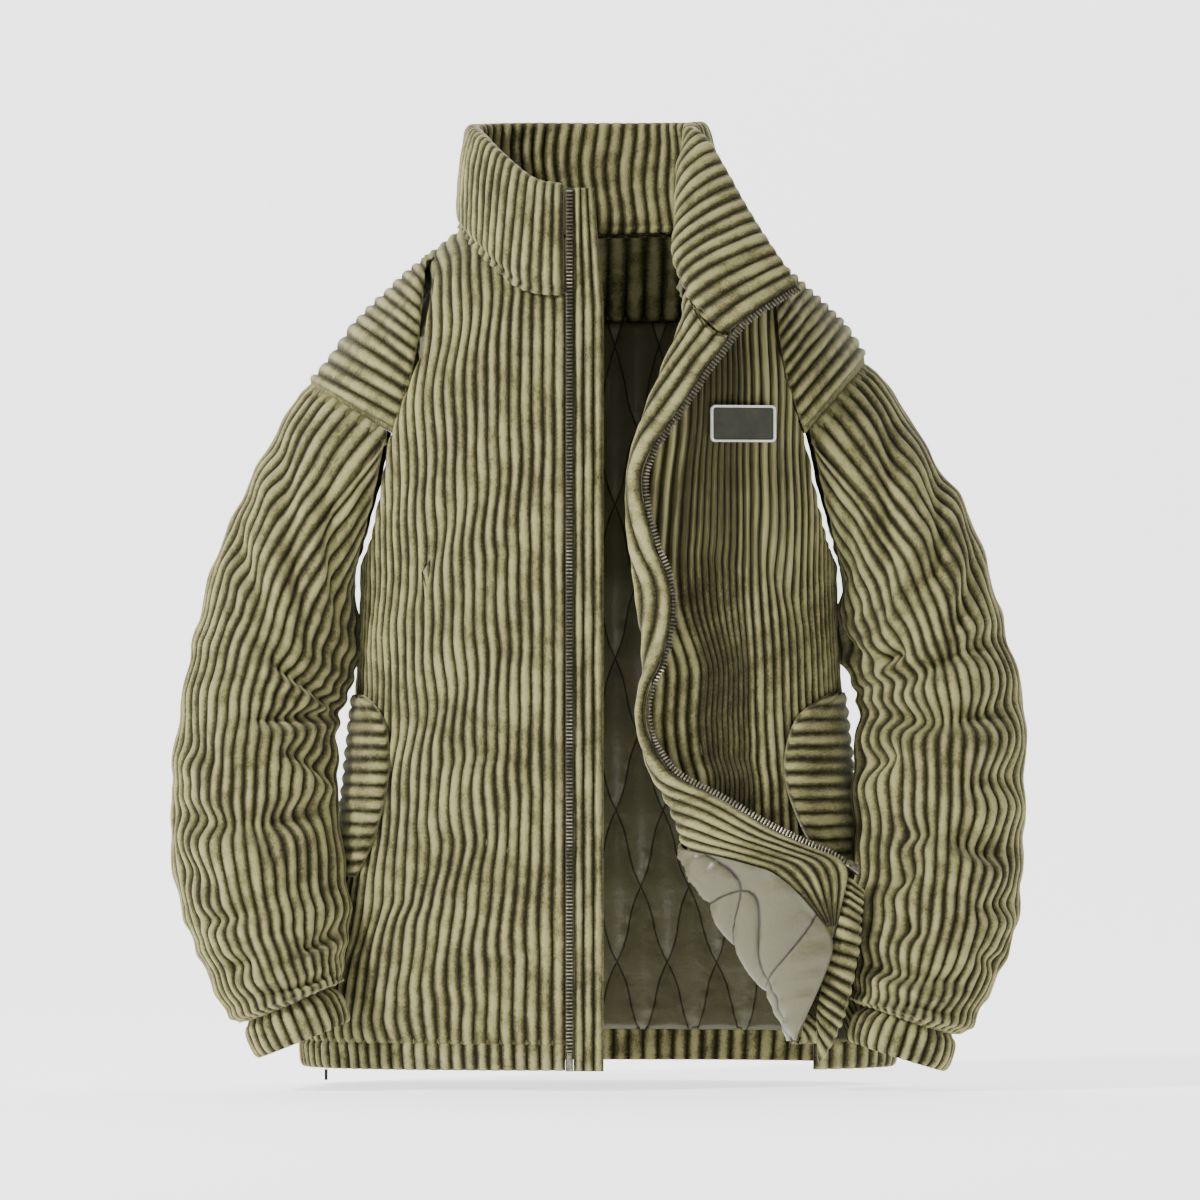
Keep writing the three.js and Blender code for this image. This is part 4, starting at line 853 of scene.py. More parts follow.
HEM_FOLD_X = 178
fold_part = quarter_part(np.full(len(RING_Z), HEM_FOLD_X), RING_Z)
hem("hem_right", right_turn, 27, 1.0)
hem("hem_back", back_turn, 50, 2.0)
hem("hem_left", lambda f, z: lerp(4 - np.interp(z, RING_Z, fold_part), 3 + SEAM_PART, f), 9, 3.0)


def hem_turned():
    f = np.linspace(0, 1, 17 * 8 + 1)[None, :]
    row = np.linspace(0.06, 1, 14)[:, None]
    rim_at = 4 * (f + 0.17 * np.sin(math.pi * np.clip(f, 0, 1)) ** 0.7)
    x = lerp(smooth(turned_hem, f * 4, "seam_x"), smooth(turned_hem, rim_at, "rim_x"), row)
    z = lerp(smooth(turned_hem, f * 4, "seam_z"), smooth(turned_hem, rim_at, "rim_z"), row)
    lift = smooth(turned_hem, f * 4, "lift")
    y = front_y(x * (1 - FLAP_FLATTEN), z) - lift - 2 * np.sin(math.pi * row) - 4
    grid = points(x, y, z)
    normal = grid_normals(grid, False, np.array([0, 400, -600.0]))
    band("hem_left_turned", grid, row * 24 + 0 * x, 17, normal, 6, 4.0, "bottom")


hem_turned()

# %% [markdown]
# The collar stands up round the neck, and falls outwards on the left with the open
# front. It is one doubled piece, so it has wales on both of its sides. Its middle
# surface passes through a base, a middle and a top point at each place round the neck.

# %% Collar
def collar_base(at, up):
    b, m, t = (
        points(*(smooth(collar_stations, at, k + axis) for axis in "xyz")) for k in "bmt"
    )
    up = np.asarray(up, float)[..., None]
    return b * (1 - up) * (1 - 2 * up) + m * 4 * up * (1 - up) + t * up * (2 * up - 1)


def collar_normal(at, up):
    along = collar_base(at + 3, up) - collar_base(at - 3, up)
    return unit(np.cross(along, collar_base(at, up + 0.05) - collar_base(at, up - 0.05)))


def collar():
    wales = 60
    f = np.linspace(0, 1, wales * 6 + 1)[None, :]
    v = np.concatenate([[-0.05], edge_rows(34, 0.02)])[:, None] + 0 * f
    at = lerp(-288, 283, f) + 1.8 * np.sin(v * 7 + f * 14) * np.sin(math.pi * f)
    middle, normal = collar_base(at, v), collar_normal(at, v)
    tall = v * 90
    count = np.broadcast_to(f * wales, at.shape)
    top_round = np.sqrt(np.clip(1 - (1 - np.clip((1 - v) * 90 / 9, 0, 1)) ** 2, 0, 1))
    end_round = np.clip(np.minimum(f, 1 - f) * 575 / 6, 0, 1) ** 0.5
    half = 3.0 + 5.4 * top_round * (0.4 + 0.6 * end_round)
    half = half - 3.0 * np.exp(-((v * 90 / 4) ** 2))
    half = half + 0.8 * wave(f * 9, v * 2.2, 5.0) * np.sin(math.pi * np.clip(v, 0, 1))
    sides = []
    for sign, seed in ((1, 5.0), (-1, 6.0)):
        height = wale_profile(count, tall, seed, 2.8) - 2.8
        sides.append(middle + normal * (sign * np.maximum(half + height, 0.5))[..., None])
    uv = np.stack([count * 0.01, tall * MM], -1)
    crest = wale_profile(count, tall, 5.0, 2.8) / 2.8
    obj = wall("collar_cloth", sides[0], sides[1], False, 1, None, uv)
    layer = obj.data.attributes.new("crest", "FLOAT", "POINT")
    both = np.concatenate([crest.ravel(), crest.ravel()])
    layer.data.foreach_set("value", both.astype(np.float32))
    cloth(obj, middle, ["collar"], "corduroy")


collar()

# %% [markdown]
# A separate piece runs over each shoulder with its wales going round the arm. The
# sleeve starts at its edge. Sleeves bend a little forwards at the elbow, so creases
# gather on their inner and front side, and these are placed one by one.

# %% Shoulder pieces
ARMHOLE = [(x, z) for x, z in zip(front_top["x"], front_top["z"]) if x >= 139]
CAP_JOIN_Z = -160


def armhole_x(z):
    xs, zs = zip(*ARMHOLE[::-1])
    return np.interp(z, zs, xs)


def shoulder_point(side, stations, v, turn):
    v, turn = np.broadcast_arrays(np.asarray(v, float), np.asarray(turn, float))
    z = lerp(-16, CAP_JOIN_Z, v)
    x = armhole_x(z) + 1
    part = quarter_part(x, np.full(x.shape, CHEST_Z))
    front, back = torso(part, reach(part)), torso(2 - part, reach(2 - part))
    ridge_x = lerp(142, stations["out_x"][0] - 1, v)
    ridge_z = np.where(v < 1, line(shoulder_line, ridge_x, "ridge"), stations["out_z"][0])
    y = np.where(turn < math.pi / 2, front[..., 1], back[..., 1])
    px = x + (ridge_x - x) * np.sin(turn)
    pz = z + (ridge_z - z) * np.sin(turn)
    return points(side * px, -np.abs(y) * np.cos(turn), pz)


def shoulder(node, side, stations, seed):
    wales = 13
    v = np.linspace(0, 1, wales * 8 + 1)[None, :]
    turn = np.linspace(0.02, math.pi - 0.02, 64)[:, None]
    grid = shoulder_point(side, stations, v + 0 * turn, turn + 0 * v)
    normal = grid_normals(grid, False, np.array([side * 150, 0, -220.0]))
    along = turn * 110 + 0 * v
    extra = crease(along, v * 130, 60, 30, 120, 80, 2.0, 12) \
        + crease(along, v * 130, 30, 90, 90, 60, 2.4, 10)
    dip = seam_dip(v, 130, 2.0, 3.5) + 0 * turn
    ribbed(node, grid, v * wales, along, normal, extra=extra, dip=dip, seed=seed,
           tucks="bottom top left right")


shoulder("shoulder_right", -1, sleeve_right_stations, 7.0)
shoulder("shoulder_left", 1, sleeve_left_stations, 8.0)

# %% Sleeves
ARMHOLE_BLEND = 3.2


def armhole_loop(side, stations, turn):
    upper = shoulder_point(side, stations, np.ones_like(turn), np.clip(turn, 0, math.pi))
    part = quarter_part(np.array([armhole_x(CAP_JOIN_Z) + 1]), np.array([CHEST_Z]))
    join = torso(part, reach(part))[0]
    y = abs(join[1]) * np.cos(turn)
    half_depth = smooth(torso_sections, CHEST_Z, "half_depth")
    half_width = smooth(torso_sections, CHEST_Z, "half_width")
    share = np.clip(np.abs(y) / half_depth, 0, 1)
    x = half_width * (1 - share**RING_POWER) ** (1 / RING_POWER)
    joined = np.maximum(x, armhole_x(CAP_JOIN_Z)) + 1.2
    lower = points(side * joined, -y, line(front_top, joined, "z"))
    return np.where((turn >= 0)[..., None], upper, lower)


def sleeve_centre(stations, at):
    read = {key: smooth(stations, at, key) for key in stations if key not in ("at", "key")}
    return (
        (read["out_x"] + read["in_x"]) / 2, read["centre_y"], (read["out_z"] + read["in_z"]) / 2,
        (read["out_x"] - read["in_x"]) / 2, (read["out_z"] - read["in_z"]) / 2, read["half_depth"],
    )


def sleeve_base(side, stations, turn, at):
    cx, cy, cz, hx, hz, hd = sleeve_centre(stations, at)
    grid = points(side * (cx + hx * np.sin(turn)), cy - hd * np.cos(turn), cz + hz * np.sin(turn))
    wrapped = np.where(turn > math.pi, turn - 2 * math.pi, turn)
    target = armhole_loop(side, stations, wrapped)
    fx, fy, fz, fhx, fhz, fhd = sleeve_centre(stations, 0.0)
    own = points(side * (fx + fhx * np.sin(turn)), fy - fhd * np.cos(turn), fz + fhz * np.sin(turn))
    share = np.clip(1 - at / ARMHOLE_BLEND, 0, 1) ** 2
    return grid + (target - own) * share[..., None]


right_creases = [
    (5.0, -5, 6.25, -85, 7, 9), (6.3, -88, 7.0, 20, 8, 9), (7.6, -23, 8.7, -80, 6, 8),
    (9.2, -85, 9.15, 82, 8, 9), (9.6, -12, 10.4, -21, 5, 8), (11.2, -15, 11.6, 62, 6, 9),
    (13.0, 10, 13.3, 44, 5, 9), (1.2, 66, 3.6, -34, 5, 11), (3.0, 78, 4.6, -8, 5, 11),
    (0.9, 34, 2.4, -66, 4.5, 10), (4.2, 60, 5.4, -36, 4, 10), (7.6, 70, 8.3, 8, 4, 10),
    (10.3, 76, 10.8, 20, 4, 10), (14.0, -60, 14.3, 30, 4.5, 9), (12.2, -78, 12.9, -20, 5, 9),
    (6.2, 120, 6.6, 210, 5, 12), (8.2, 230, 8.6, 150, 5, 12), (10.2, 130, 10.5, 220, 5, 12),
    (12.6, 220, 12.9, 140, 5, 12), (3.2, 130, 4.0, 220, 4, 14), (14.4, 150, 14.6, 240, 4, 10),
]
left_creases = [
    (2.2, -80, 4.8, -56, 6, 9), (4.8, -56, 5.0, -26, 7, 9), (7.0, -74, 7.0, 72, 8, 9),
    (8.3, -80, 7.85, -37, 6, 8), (9.75, -47, 9.4, -7, 6, 8), (9.4, -7, 10.0, 58, 7, 9),
    (11.1, -45, 9.95, -21, 5, 8), (11.8, -34, 12.2, -8, 5, 9), (2.9, 8, 4.1, -31, -4, 9),
    (1.0, 60, 3.0, -30, 5, 11), (2.2, 70, 4.4, 6, 5, 11), (3.8, 74, 5.6, 10, 4, 10),
    (5.8, 66, 6.2, -50, 5, 10), (8.4, 78, 8.7, 0, 5, 10), (11.2, 80, 11.4, 14, 5, 10),
    (13.1, -60, 13.4, 40, 6, 9), (14.4, -30, 14.6, 50, 4, 9), (12.4, 30, 12.8, 76, 4, 9),
    (6.0, 120, 6.5, 210, 5, 12), (8.0, 230, 8.5, 150, 5, 12), (10.0, 130, 10.3, 220, 5, 12),
    (12.4, 220, 12.8, 140, 5, 12), (3.0, 130, 3.9, 220, 4, 14), (14.2, 150, 14.4, 240, 4, 10),
]


def sleeve_dents(creases, turn, at):
    degrees = np.degrees(turn)
    total = 0
    for at0, deg0, at1, deg1, depth, width in creases:
        middle = (deg0 + deg1) / 2
        near = (degrees - middle + 540) % 360 - 180 + middle
        total = total + crease(near * 1.13, at * 37, deg0 * 1.13, at0 * 37, deg1 * 1.13,
                               at1 * 37, depth * 1.7, width * 1.15)
        total = total + crease(near * 1.13, at * 37 - 19, deg0 * 1.13, at0 * 37, deg1 * 1.13,
                               at1 * 37, -depth * 0.55, width * 1.5)
    inner_side = np.exp(-(((degrees + 90 + 180) % 360 - 180) / 38) ** 2)
    rest = np.clip((at - 0.6) / 2, 0, 1) * np.clip((14 - at) / 2, 0, 1)
    return total + 14 * inner_side * rest


def sleeve(node, side, stations, creases, seed):
    wales = 38
    f = np.arange(wales * 7) / (wales * 7)
    at = lerp(0.06, 16, edge_rows(150, 0.004))[:, None]
    turn = f[None, :] * 2 * math.pi + 0 * at
    at = at + 0 * turn
    sway = (np.sin(at * 1.9 + seed) + 0.6 * np.sin(at * 4.3 + 2 * seed)) * 0.012
    grid = sleeve_base(side, stations, turn + sway, at)
    cx, cy, cz = sleeve_centre(stations, at)[:3]
    normal = grid_normals(grid, True, points(side * cx, cy, cz))
    puff = 2.4 * wave(np.cos(turn) * 1.3 + seed, at * 0.55, seed) + 1.2 * np.cos(at * 5.2 + seed)
    extra = sleeve_dents(creases, turn, at) + puff * np.clip(np.minimum(at, 16 - at), 0, 1)
    dip = seam_dip((at - 0.06) / 15.94, 590, 2.4, 4)
    ribbed(node, grid, f * wales, at * 37, normal, closed=True, extra=extra, dip=dip, seed=seed,
           tucks="bottom top")


sleeve("sleeve_right", -1, sleeve_right_stations, right_creases, 9.0)
sleeve("sleeve_left", 1, sleeve_left_stations, left_creases, 10.0)

# %% Cuffs
CUFF_LENGTH = 31


def cuff(node, side, stations, seed):
    cx, cy, cz, hx, hz, hd = sleeve_centre(stations, 16.0)
    half = math.hypot(hx, hz)
    down = -np.array([-side * hz, 0, hx]) / half
    side_way = np.array([side * hx, 0, hz]) / half
    wales = 26
    turn = (np.arange(wales * 8) / (wales * 8) * 2 * math.pi)[None, :]
    along = np.linspace(1.2, CUFF_LENGTH, 18)[:, None]
    swell = 1 + 0.05 * np.sin(math.pi * along / CUFF_LENGTH)
    grid = np.array([side * cx, cy, cz]) + down * along[..., None] \
        + side_way * (half * swell * np.sin(turn))[..., None]
    grid[..., 1] -= hd * swell * np.cos(turn)
    middle = np.array([side * cx, cy, cz]) + down * along[..., None]
    normal = grid_normals(grid, True, middle)
    band(node, grid, along + 0 * turn, wales, normal, 4.0, seed, "bottom", closed=True)


cuff("cuff_right", -1, sleeve_right_stations, 11.0)
cuff("cuff_left", 1, sleeve_left_stations, 12.0)

# %% [markdown]
# Each pocket opens behind a padded welt, cut in a half-moon shape. The welt's wales
# are level, and its front edge is rolled and stands well off the panel.

# %% Pocket welts
POCKET_WALES, POCKET_BACK, POCKET_RISE = 14, 0.95, 10.0


def pocket(node, side, edge, seed):
    f = np.linspace(0, 1, POCKET_WALES * 8 + 1)[None, :]
    across = np.concatenate([np.linspace(0, 0.12, 8)[:-1], np.linspace(0.12, 1, 30)])[:, None]
    z = lerp(edge["z"][0] + 1, edge["z"][-1] - 1, f) + 0 * across
    near = quarter_part(smooth(edge, z[0], "x"), z[0])[None, :]
    part = lerp(near, POCKET_BACK, across)
    swell = np.sin(math.pi * np.clip(0.12 + f * 0.76, 0, 1))
    roll = np.sqrt(np.clip(1 - (1 - np.clip(across / 0.12, 0, 1)) ** 2, 0, 1))
    height = POCKET_RISE * swell * (0.2 + 0.8 * roll) * (1 - 0.7 * across) + 2.6
    turn = part if side < 0 else 4 - part
    base = torso(turn, z - CHEST_Z)
    out = grid_normals(base, False, AXIS)
    lift = height - 1.2 * np.exp(-((across - 0.2) / 0.05) ** 2)
    grid = base + out * lift[..., None]
    normal = grid_normals(grid, False, AXIS)
    wales = wale_profile(np.broadcast_to(f * POCKET_WALES, z.shape), across * 60 + 0 * z, seed, 2.2)
    outer = grid + normal * (wales - 2.2)[..., None]
    inner = base + out * (0.1 + 0 * z)[..., None]
    uv = np.stack([f * POCKET_WALES * 0.01 + 0 * z, across * 0.06 + 0 * z], -1)
    obj = wall(node + "_cloth", outer, inner, False, 4, wales / 2.2, uv)
    cloth(obj, grid, [node], "corduroy")


pocket("pocket_right", -1, pocket_right_edge, 13.0)
pocket("pocket_left", 1, pocket_left_edge, 14.0)

# %% [markdown]
# The zip is two rows of metal teeth clamped on woven tapes. One tooth is modelled from
# a cube, with a rounded head, and then copied along each edge. A narrow placket of
# corduroy lies behind the right edge.

# %% Placket and tapes
def edge_y(z):
    z = np.asarray(z, float)
    body = front_y(np.full(z.shape, 24.0), np.clip(z, -684, -45))
    up = np.where(z < -2, (z + 45) / 43 / 2, 0.5 + (z + 2) / 84)
    neck = collar_base(np.full(z.shape, -290.0), up)[..., 1] - 4
    return np.where(z <= -45, body, lerp(body, neck, np.clip(up * 6, 0, 1)))


def placket():
    f = np.linspace(0, 1, 3 * 9 + 1)[None, :]
    v = edge_rows(170, 0.003)[:, None]
    z = lerp(-684, 38, v) + 0 * f
    narrow = np.clip((z + 60) / 98, 0, 1) * 8
    x = lerp(-20.6, 4 - narrow, f)
    grid = points(x, edge_y(z) + 1.5, z)
    normal = np.zeros_like(grid)
    normal[..., 1] = -1
    ends = -2.4 * (np.exp(-((f * 24) / 2.4) ** 2) + np.exp(-(((1 - f) * 24) / 2.4) ** 2))
    dip = seam_dip(v, 720, 1.4, 3) + ends
    ribbed("placket_right", grid, f * 3, z, normal, dip=dip, seed=15.0)


def tape_strip(node, centre, side_way, inward, width, depth, thickness):
    """A flat woven strip along a line of points."""
    s = np.linspace(0, 1, 7)[None, :, None]
    grid = centre[:, None] + side_way[:, None] * (0.4 + s * width) + inward[:, None] * depth
    across, up = np.linspace(0, width, 7), row_lengths(centre)
    uv = np.stack([across[None, :] * MM + 0 * up[:, None], up[:, None] * MM + 0 * across], -1)
    back_side = grid + inward[:, None] * thickness
    obj = wall(node + "_woven", grid, back_side, False, 1, None, uv)
    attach(obj, "root")
    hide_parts(node)
    made[obj.name] = "zip_tape"


def row_lengths(line_points):
    return np.concatenate([[0], np.cumsum(np.linalg.norm(np.diff(line_points, axis=0), axis=1))])


placket()
zip_z = np.linspace(-684, 38, 260)
right_line = points(RIGHT_EDGE_X, edge_y(zip_z), zip_z)
right_across = np.tile([1.0, 0, 0], (len(zip_z), 1))
right_inward = np.tile([0, 1.0, 0], (len(zip_z), 1))
tape_strip("zip_tape_right", right_line, right_across, right_inward, 6.0, 2.5, 0.8)


def left_edge_frames():
    rows = [row for row in LEFT_ROWS if row["roll_z"] > -566]
    near = np.array([[np.interp(d, row["lengths"], row["points"][:, k]) for k in range(3)]
                     for row in rows for d in (0.0, 4.0)]).reshape(len(rows), 2, 3)
    line_points, across = near[:, 0], unit(near[:, 0] - near[:, 1])
    up = np.gradient(line_points, axis=0)
    inward = unit(np.cross(up, -across))
    v = np.linspace(0.2, 1, 40)
    at = np.full(40, 283.0)
    top = collar_base(at, v)
    top_across = unit(collar_base(at + 2, v) - collar_base(at - 2, v))
    top_inward = collar_normal(at, v)
    return (np.concatenate([line_points, top]), np.concatenate([across, top_across]),
            np.concatenate([inward, top_inward]))


def even_line(line_points, across, inward, step):
    """The same line at even steps, a little smoothed."""
    for _ in range(6):
        line_points[1:-1] = (line_points[:-2] + 2 * line_points[1:-1] + line_points[2:]) / 4
    along = row_lengths(line_points)
    at = np.arange(0, along[-1], step)
    read = lambda values: np.stack([np.interp(at, along, values[:, k]) for k in range(3)], -1)
    inward = read(inward)
    for _ in range(12):
        inward[1:-1] = (inward[:-2] + 2 * inward[1:-1] + inward[2:]) / 4
    line_points, inward = read(line_points), unit(inward)
    way = unit(np.gradient(line_points, axis=0))
    across = read(across)
    across = unit(across - way * np.sum(across * way, axis=1, keepdims=True))
    side = unit(np.cross(way, inward))
    side = side * np.sign(np.sum(side * across, axis=1, keepdims=True))
    return line_points, side, unit(np.cross(way, side)) * np.sign(
        np.sum(np.cross(way, side) * inward, axis=1, keepdims=True))


left_line = left_edge_frames()
tape_strip("zip_tape_left", *even_line(*(a.copy() for a in left_line), 3.0), 3.6, 1.0, 0.7)

# %% One tooth
TOOTH = dict(width=5.4, depth=2.6, height=1.7, pitch=3.0)


def deselect():
    for other in bpy.context.selected_objects:
        other.select_set(False)


def new_block(name, size, bevel, segments=2):
    """A cube of a size in metres, with its edges bevelled in edit mode."""
    deselect()
    bpy.ops.mesh.primitive_cube_add(size=1, location=(0, 0, 0))
    obj = bpy.context.active_object
    obj.name = name
    bpy.ops.object.mode_set(mode="EDIT")
    bpy.ops.mesh.select_all(action="SELECT")
    bpy.ops.transform.resize(value=size)
    bpy.ops.mesh.bevel(offset=bevel, segments=segments, affect="EDGES")
    bpy.ops.object.mode_set(mode="OBJECT")
    return obj


def tooth():
    obj = new_block("tooth", (TOOTH["width"] * MM, TOOTH["depth"] * MM, TOOTH["height"] * MM),
                    0.35 * MM, 1)
    head = [v for v in obj.data.vertices if v.co.x > 1.2 * MM]
    for v in head:
        v.co.z *= 0.72
    return obj


def chain(node, line_points, across, inward, depth0):
    """Copies of the tooth along a line, as one mesh."""
    one = tooth()
    base = np.array([v.co[:] for v in one.data.vertices]) / MM
    shape = [list(p.vertices) for p in one.data.polygons]
    way = unit(np.gradient(line_points, axis=0))
    middle = line_points + across * (0.7 + TOOTH["width"] / 2) + inward * (depth0 + 1.3)
    verts = middle[:, None] + base[None, :, :1] * across[:, None] \
        + base[None, :, 1:2] * inward[:, None] + base[None, :, 2:] * way[:, None]
    faces = [[i + k * len(base) for i in face] for k in range(len(line_points)) for face in shape]
    obj = mesh_object(node + "_teeth", verts.reshape(-1, 3) * MM, faces, smooth_faces=False)
    bpy.data.objects.remove(one)
    bm = bmesh.new()
    bm.from_mesh(obj.data)
    bmesh.ops.recalc_face_normals(bm, faces=bm.faces)
    bm.to_mesh(obj.data)
    bm.free()
    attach(obj, "root")
    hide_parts(node)
    made[obj.name] = "zip_metal"
    print(node, "has", len(line_points), "teeth")


tooth_z = np.arange(-667, 38, TOOTH["pitch"])
chain("zip_chain_right", points(RIGHT_EDGE_X, edge_y(tooth_z), tooth_z),
      np.tile([1.0, 0, 0], (len(tooth_z), 1)), np.tile([0, 1.0, 0], (len(tooth_z), 1)), -0.4)
chain("zip_chain_left", *even_line(*(a.copy() for a in left_line), TOOTH["pitch"]), 0.0)

# %% Pin and slider
def place(obj, centre, x_way, y_way, z_way, node):
    """Moves a block's mesh into the jacket's frame, and leaves the object at the origin."""
    turn = Matrix([[x_way[i], y_way[i], z_way[i], centre[i] * MM] for i in range(3)] + [[0, 0, 0, 1]])
    obj.data.transform(turn)
    obj.data.update()
    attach(obj, "root")
    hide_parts(node)
    made[obj.name] = "zip_metal"


pin = new_block("zip_pin", (4.0 * MM, 2.6 * MM, 15.6 * MM), 0.8 * MM, 3)
pin_y = float(edge_y(-676)) + 0.8
place(pin, (RIGHT_EDGE_X + 3.4, pin_y, -676), (1, 0, 0), (0, 1, 0), (0, 0, 1), "zip_pin_right")

slider_line, slider_side, slider_in = even_line(*(a.copy() for a in left_line), 3.0)
slider_way = unit(slider_line[0] - slider_line[1])


def slider():
    """A block with an inset face and a small bridge, as on a slider's front."""
    obj = new_block("zip_slider", (7.0 * MM, 4.6 * MM, 12.4 * MM), 0.9 * MM, 3)
    bpy.context.view_layer.objects.active = obj
    for polygon in obj.data.polygons:
        polygon.select = polygon.normal.y < -0.99 and polygon.area > 2e-5
    bpy.ops.object.mode_set(mode="EDIT")
    bpy.ops.mesh.select_mode(type="FACE")
    bpy.ops.object.mode_set(mode="OBJECT")
    for polygon in obj.data.polygons:
        polygon.select = polygon.normal.y < -0.99 and polygon.area > 2e-5
    bpy.ops.object.mode_set(mode="EDIT")
    bpy.ops.mesh.inset(thickness=1.2 * MM, depth=0)
    bpy.ops.mesh.inset(thickness=0.5 * MM, depth=0.7 * MM)
    bpy.ops.object.mode_set(mode="OBJECT")
    return obj


slider_centre = slider_line[0] + slider_way * 6.7 + slider_side[0] * 3.8 + slider_in[0] * 1.3
place(slider(), slider_centre, slider_side[0], slider_in[0], -slider_way, "zip_slider_left")

# %% [markdown]
# The badge is a moulded rubber plate with a thin raised border. Its field is bare.
# It is a block with rounded corners, whose front is inset for the border and then sunk.

# %% Badge
BADGE_X, BADGE_Z, BADGE_WIDTH, BADGE_HEIGHT = 117, -155, 58, 30


def badge():
    deselect()
    bpy.ops.mesh.primitive_cube_add(size=1, location=(0, 0, 0))
    obj = bpy.context.active_object
    obj.name = "badge"
    bpy.ops.object.mode_set(mode="EDIT")
    bpy.ops.mesh.select_all(action="SELECT")
    bpy.ops.transform.resize(value=(BADGE_WIDTH * MM, BADGE_HEIGHT * MM, 2.6 * MM))
    bpy.ops.object.mode_set(mode="OBJECT")
    bm = bmesh.new()
    bm.from_mesh(obj.data)
    corners = [e for e in bm.edges if abs(e.verts[0].co.z - e.verts[1].co.z) > 1e-4]
    bmesh.ops.bevel(bm, geom=corners, offset=4 * MM, segments=6, affect="EDGES", profile=0.5)
    top = [f for f in bm.faces if f.normal.z > 0.9]
    bmesh.ops.inset_region(bm, faces=top, thickness=1.6 * MM, depth=0)
    bmesh.ops.inset_region(bm, faces=top, thickness=0.25 * MM, depth=-1.0 * MM)
    bmesh.ops.recalc_face_normals(bm, faces=bm.faces)
    bm.to_mesh(obj.data)
    bm.free()
    obj.data.polygons.foreach_set("use_smooth", [False] * len(obj.data.polygons))
    return obj


def front_point(x, z):
    return points(x, front_y(np.float64(x), np.float64(z)), z)


badge_plate = badge()
badge_middle = front_point(BADGE_X, BADGE_Z)
badge_across = unit(front_point(BADGE_X + 5, BADGE_Z) - badge_middle)
badge_up = unit(front_point(BADGE_X, BADGE_Z + 5) - badge_middle)
badge_out = unit(np.cross(badge_across, badge_up))
badge_up = unit(np.cross(badge_out, badge_across))
badge_centre = badge_middle + badge_out * 2.2
badge_plate.data.transform(Matrix(
    [[badge_across[i], badge_up[i], badge_out[i], badge_centre[i] * MM] for i in range(3)]
    + [[0, 0, 0, 1]]))
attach(badge_plate, "root")
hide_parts("badge_rim", "badge_field")

# %% [markdown]
# Corduroy gets its look from pile. Light sinks into the grooves and catches the crests,
# and the nap lies unevenly, so patches look darker or lighter. The height kept in the
# mesh drives the colour as painted light: painted shade in the grooves and a painted
# highlight on the crests, and fine noise stretched along the wale makes the pile.
# The pile pattern is one node group.

# %% Node helpers
def link(tree, a, b):
    tree.links.new(a, b)


def node(tree, kind, **values):
    made_node = tree.nodes.new(kind)
    for key, value in values.items():
        setattr(made_node, key, value)
    return made_node


def noise(tree, vector, scale, detail=3.0, rough=0.6):
    made_node = node(tree, "ShaderNodeTexNoise")
    made_node.inputs["Scale"].default_value = scale
    made_node.inputs["Detail"].default_value = detail
    made_node.inputs["Roughness"].default_value = rough
    link(tree, vector, made_node.inputs["Vector"])
    return made_node.outputs["Fac"]


def stretch(tree, vector, scale):
    made_node = node(tree, "ShaderNodeMapping")
    made_node.inputs["Scale"].default_value = scale
    link(tree, vector, made_node.inputs["Vector"])
    return made_node.outputs["Vector"]


def ramp(tree, value, low, high, out_low=0.0, out_high=1.0):
    made_node = node(tree, "ShaderNodeMapRange")
    for key, number in zip(("From Min", "From Max", "To Min", "To Max"), (low, high, out_low, out_high)):
        made_node.inputs[key].default_value = number
    link(tree, value, made_node.inputs["Value"])
    return made_node.outputs["Result"]


def mix(tree, factor, a, b, kind="MIX"):
    made_node = node(tree, "ShaderNodeMix", data_type="RGBA", blend_type=kind)
    for socket, value in ((made_node.inputs[0], factor), (made_node.inputs[6], a), (made_node.inputs[7], b)):
        if isinstance(value, (tuple, float, int)):
            socket.default_value = (*value, 1) if isinstance(value, tuple) else value
        else:
            link(tree, value, socket)
    return made_node.outputs[2]


def maths(tree, operation, a, b):
    made_node = node(tree, "ShaderNodeMath", operation=operation)
    for socket, value in zip(made_node.inputs, (a, b)):
        if isinstance(value, (float, int)):
            socket.default_value = value
        else:
            link(tree, value, socket)
    return made_node.outputs[0]


def new_group(name, inputs, outputs):
    group = bpy.data.node_groups.new(name, "ShaderNodeTree")
    for label, kind in inputs:
        group.interface.new_socket(name=label, in_out="INPUT", socket_type=kind)
    for label, kind in outputs:
        group.interface.new_socket(name=label, in_out="OUTPUT", socket_type=kind)
    start, end = group.nodes.new("NodeGroupInput"), group.nodes.new("NodeGroupOutput")
    return group, start.outputs, end.inputs


def new_material(name, roughness=0.8):
    material = bpy.data.materials.new(name)
    material.use_nodes = True
    tree = material.node_tree
    shader = tree.nodes["Principled BSDF"]
    shader.inputs["Roughness"].default_value = roughness
    return material, tree, shader


def bump(tree, shader, height, distance, strength=1.0):
    made_node = node(tree, "ShaderNodeBump")
    made_node.inputs["Distance"].default_value = distance
    made_node.inputs["Strength"].default_value = strength
    link(tree, height, made_node.inputs["Height"])
    link(tree, made_node.outputs["Normal"], shader.inputs["Normal"])


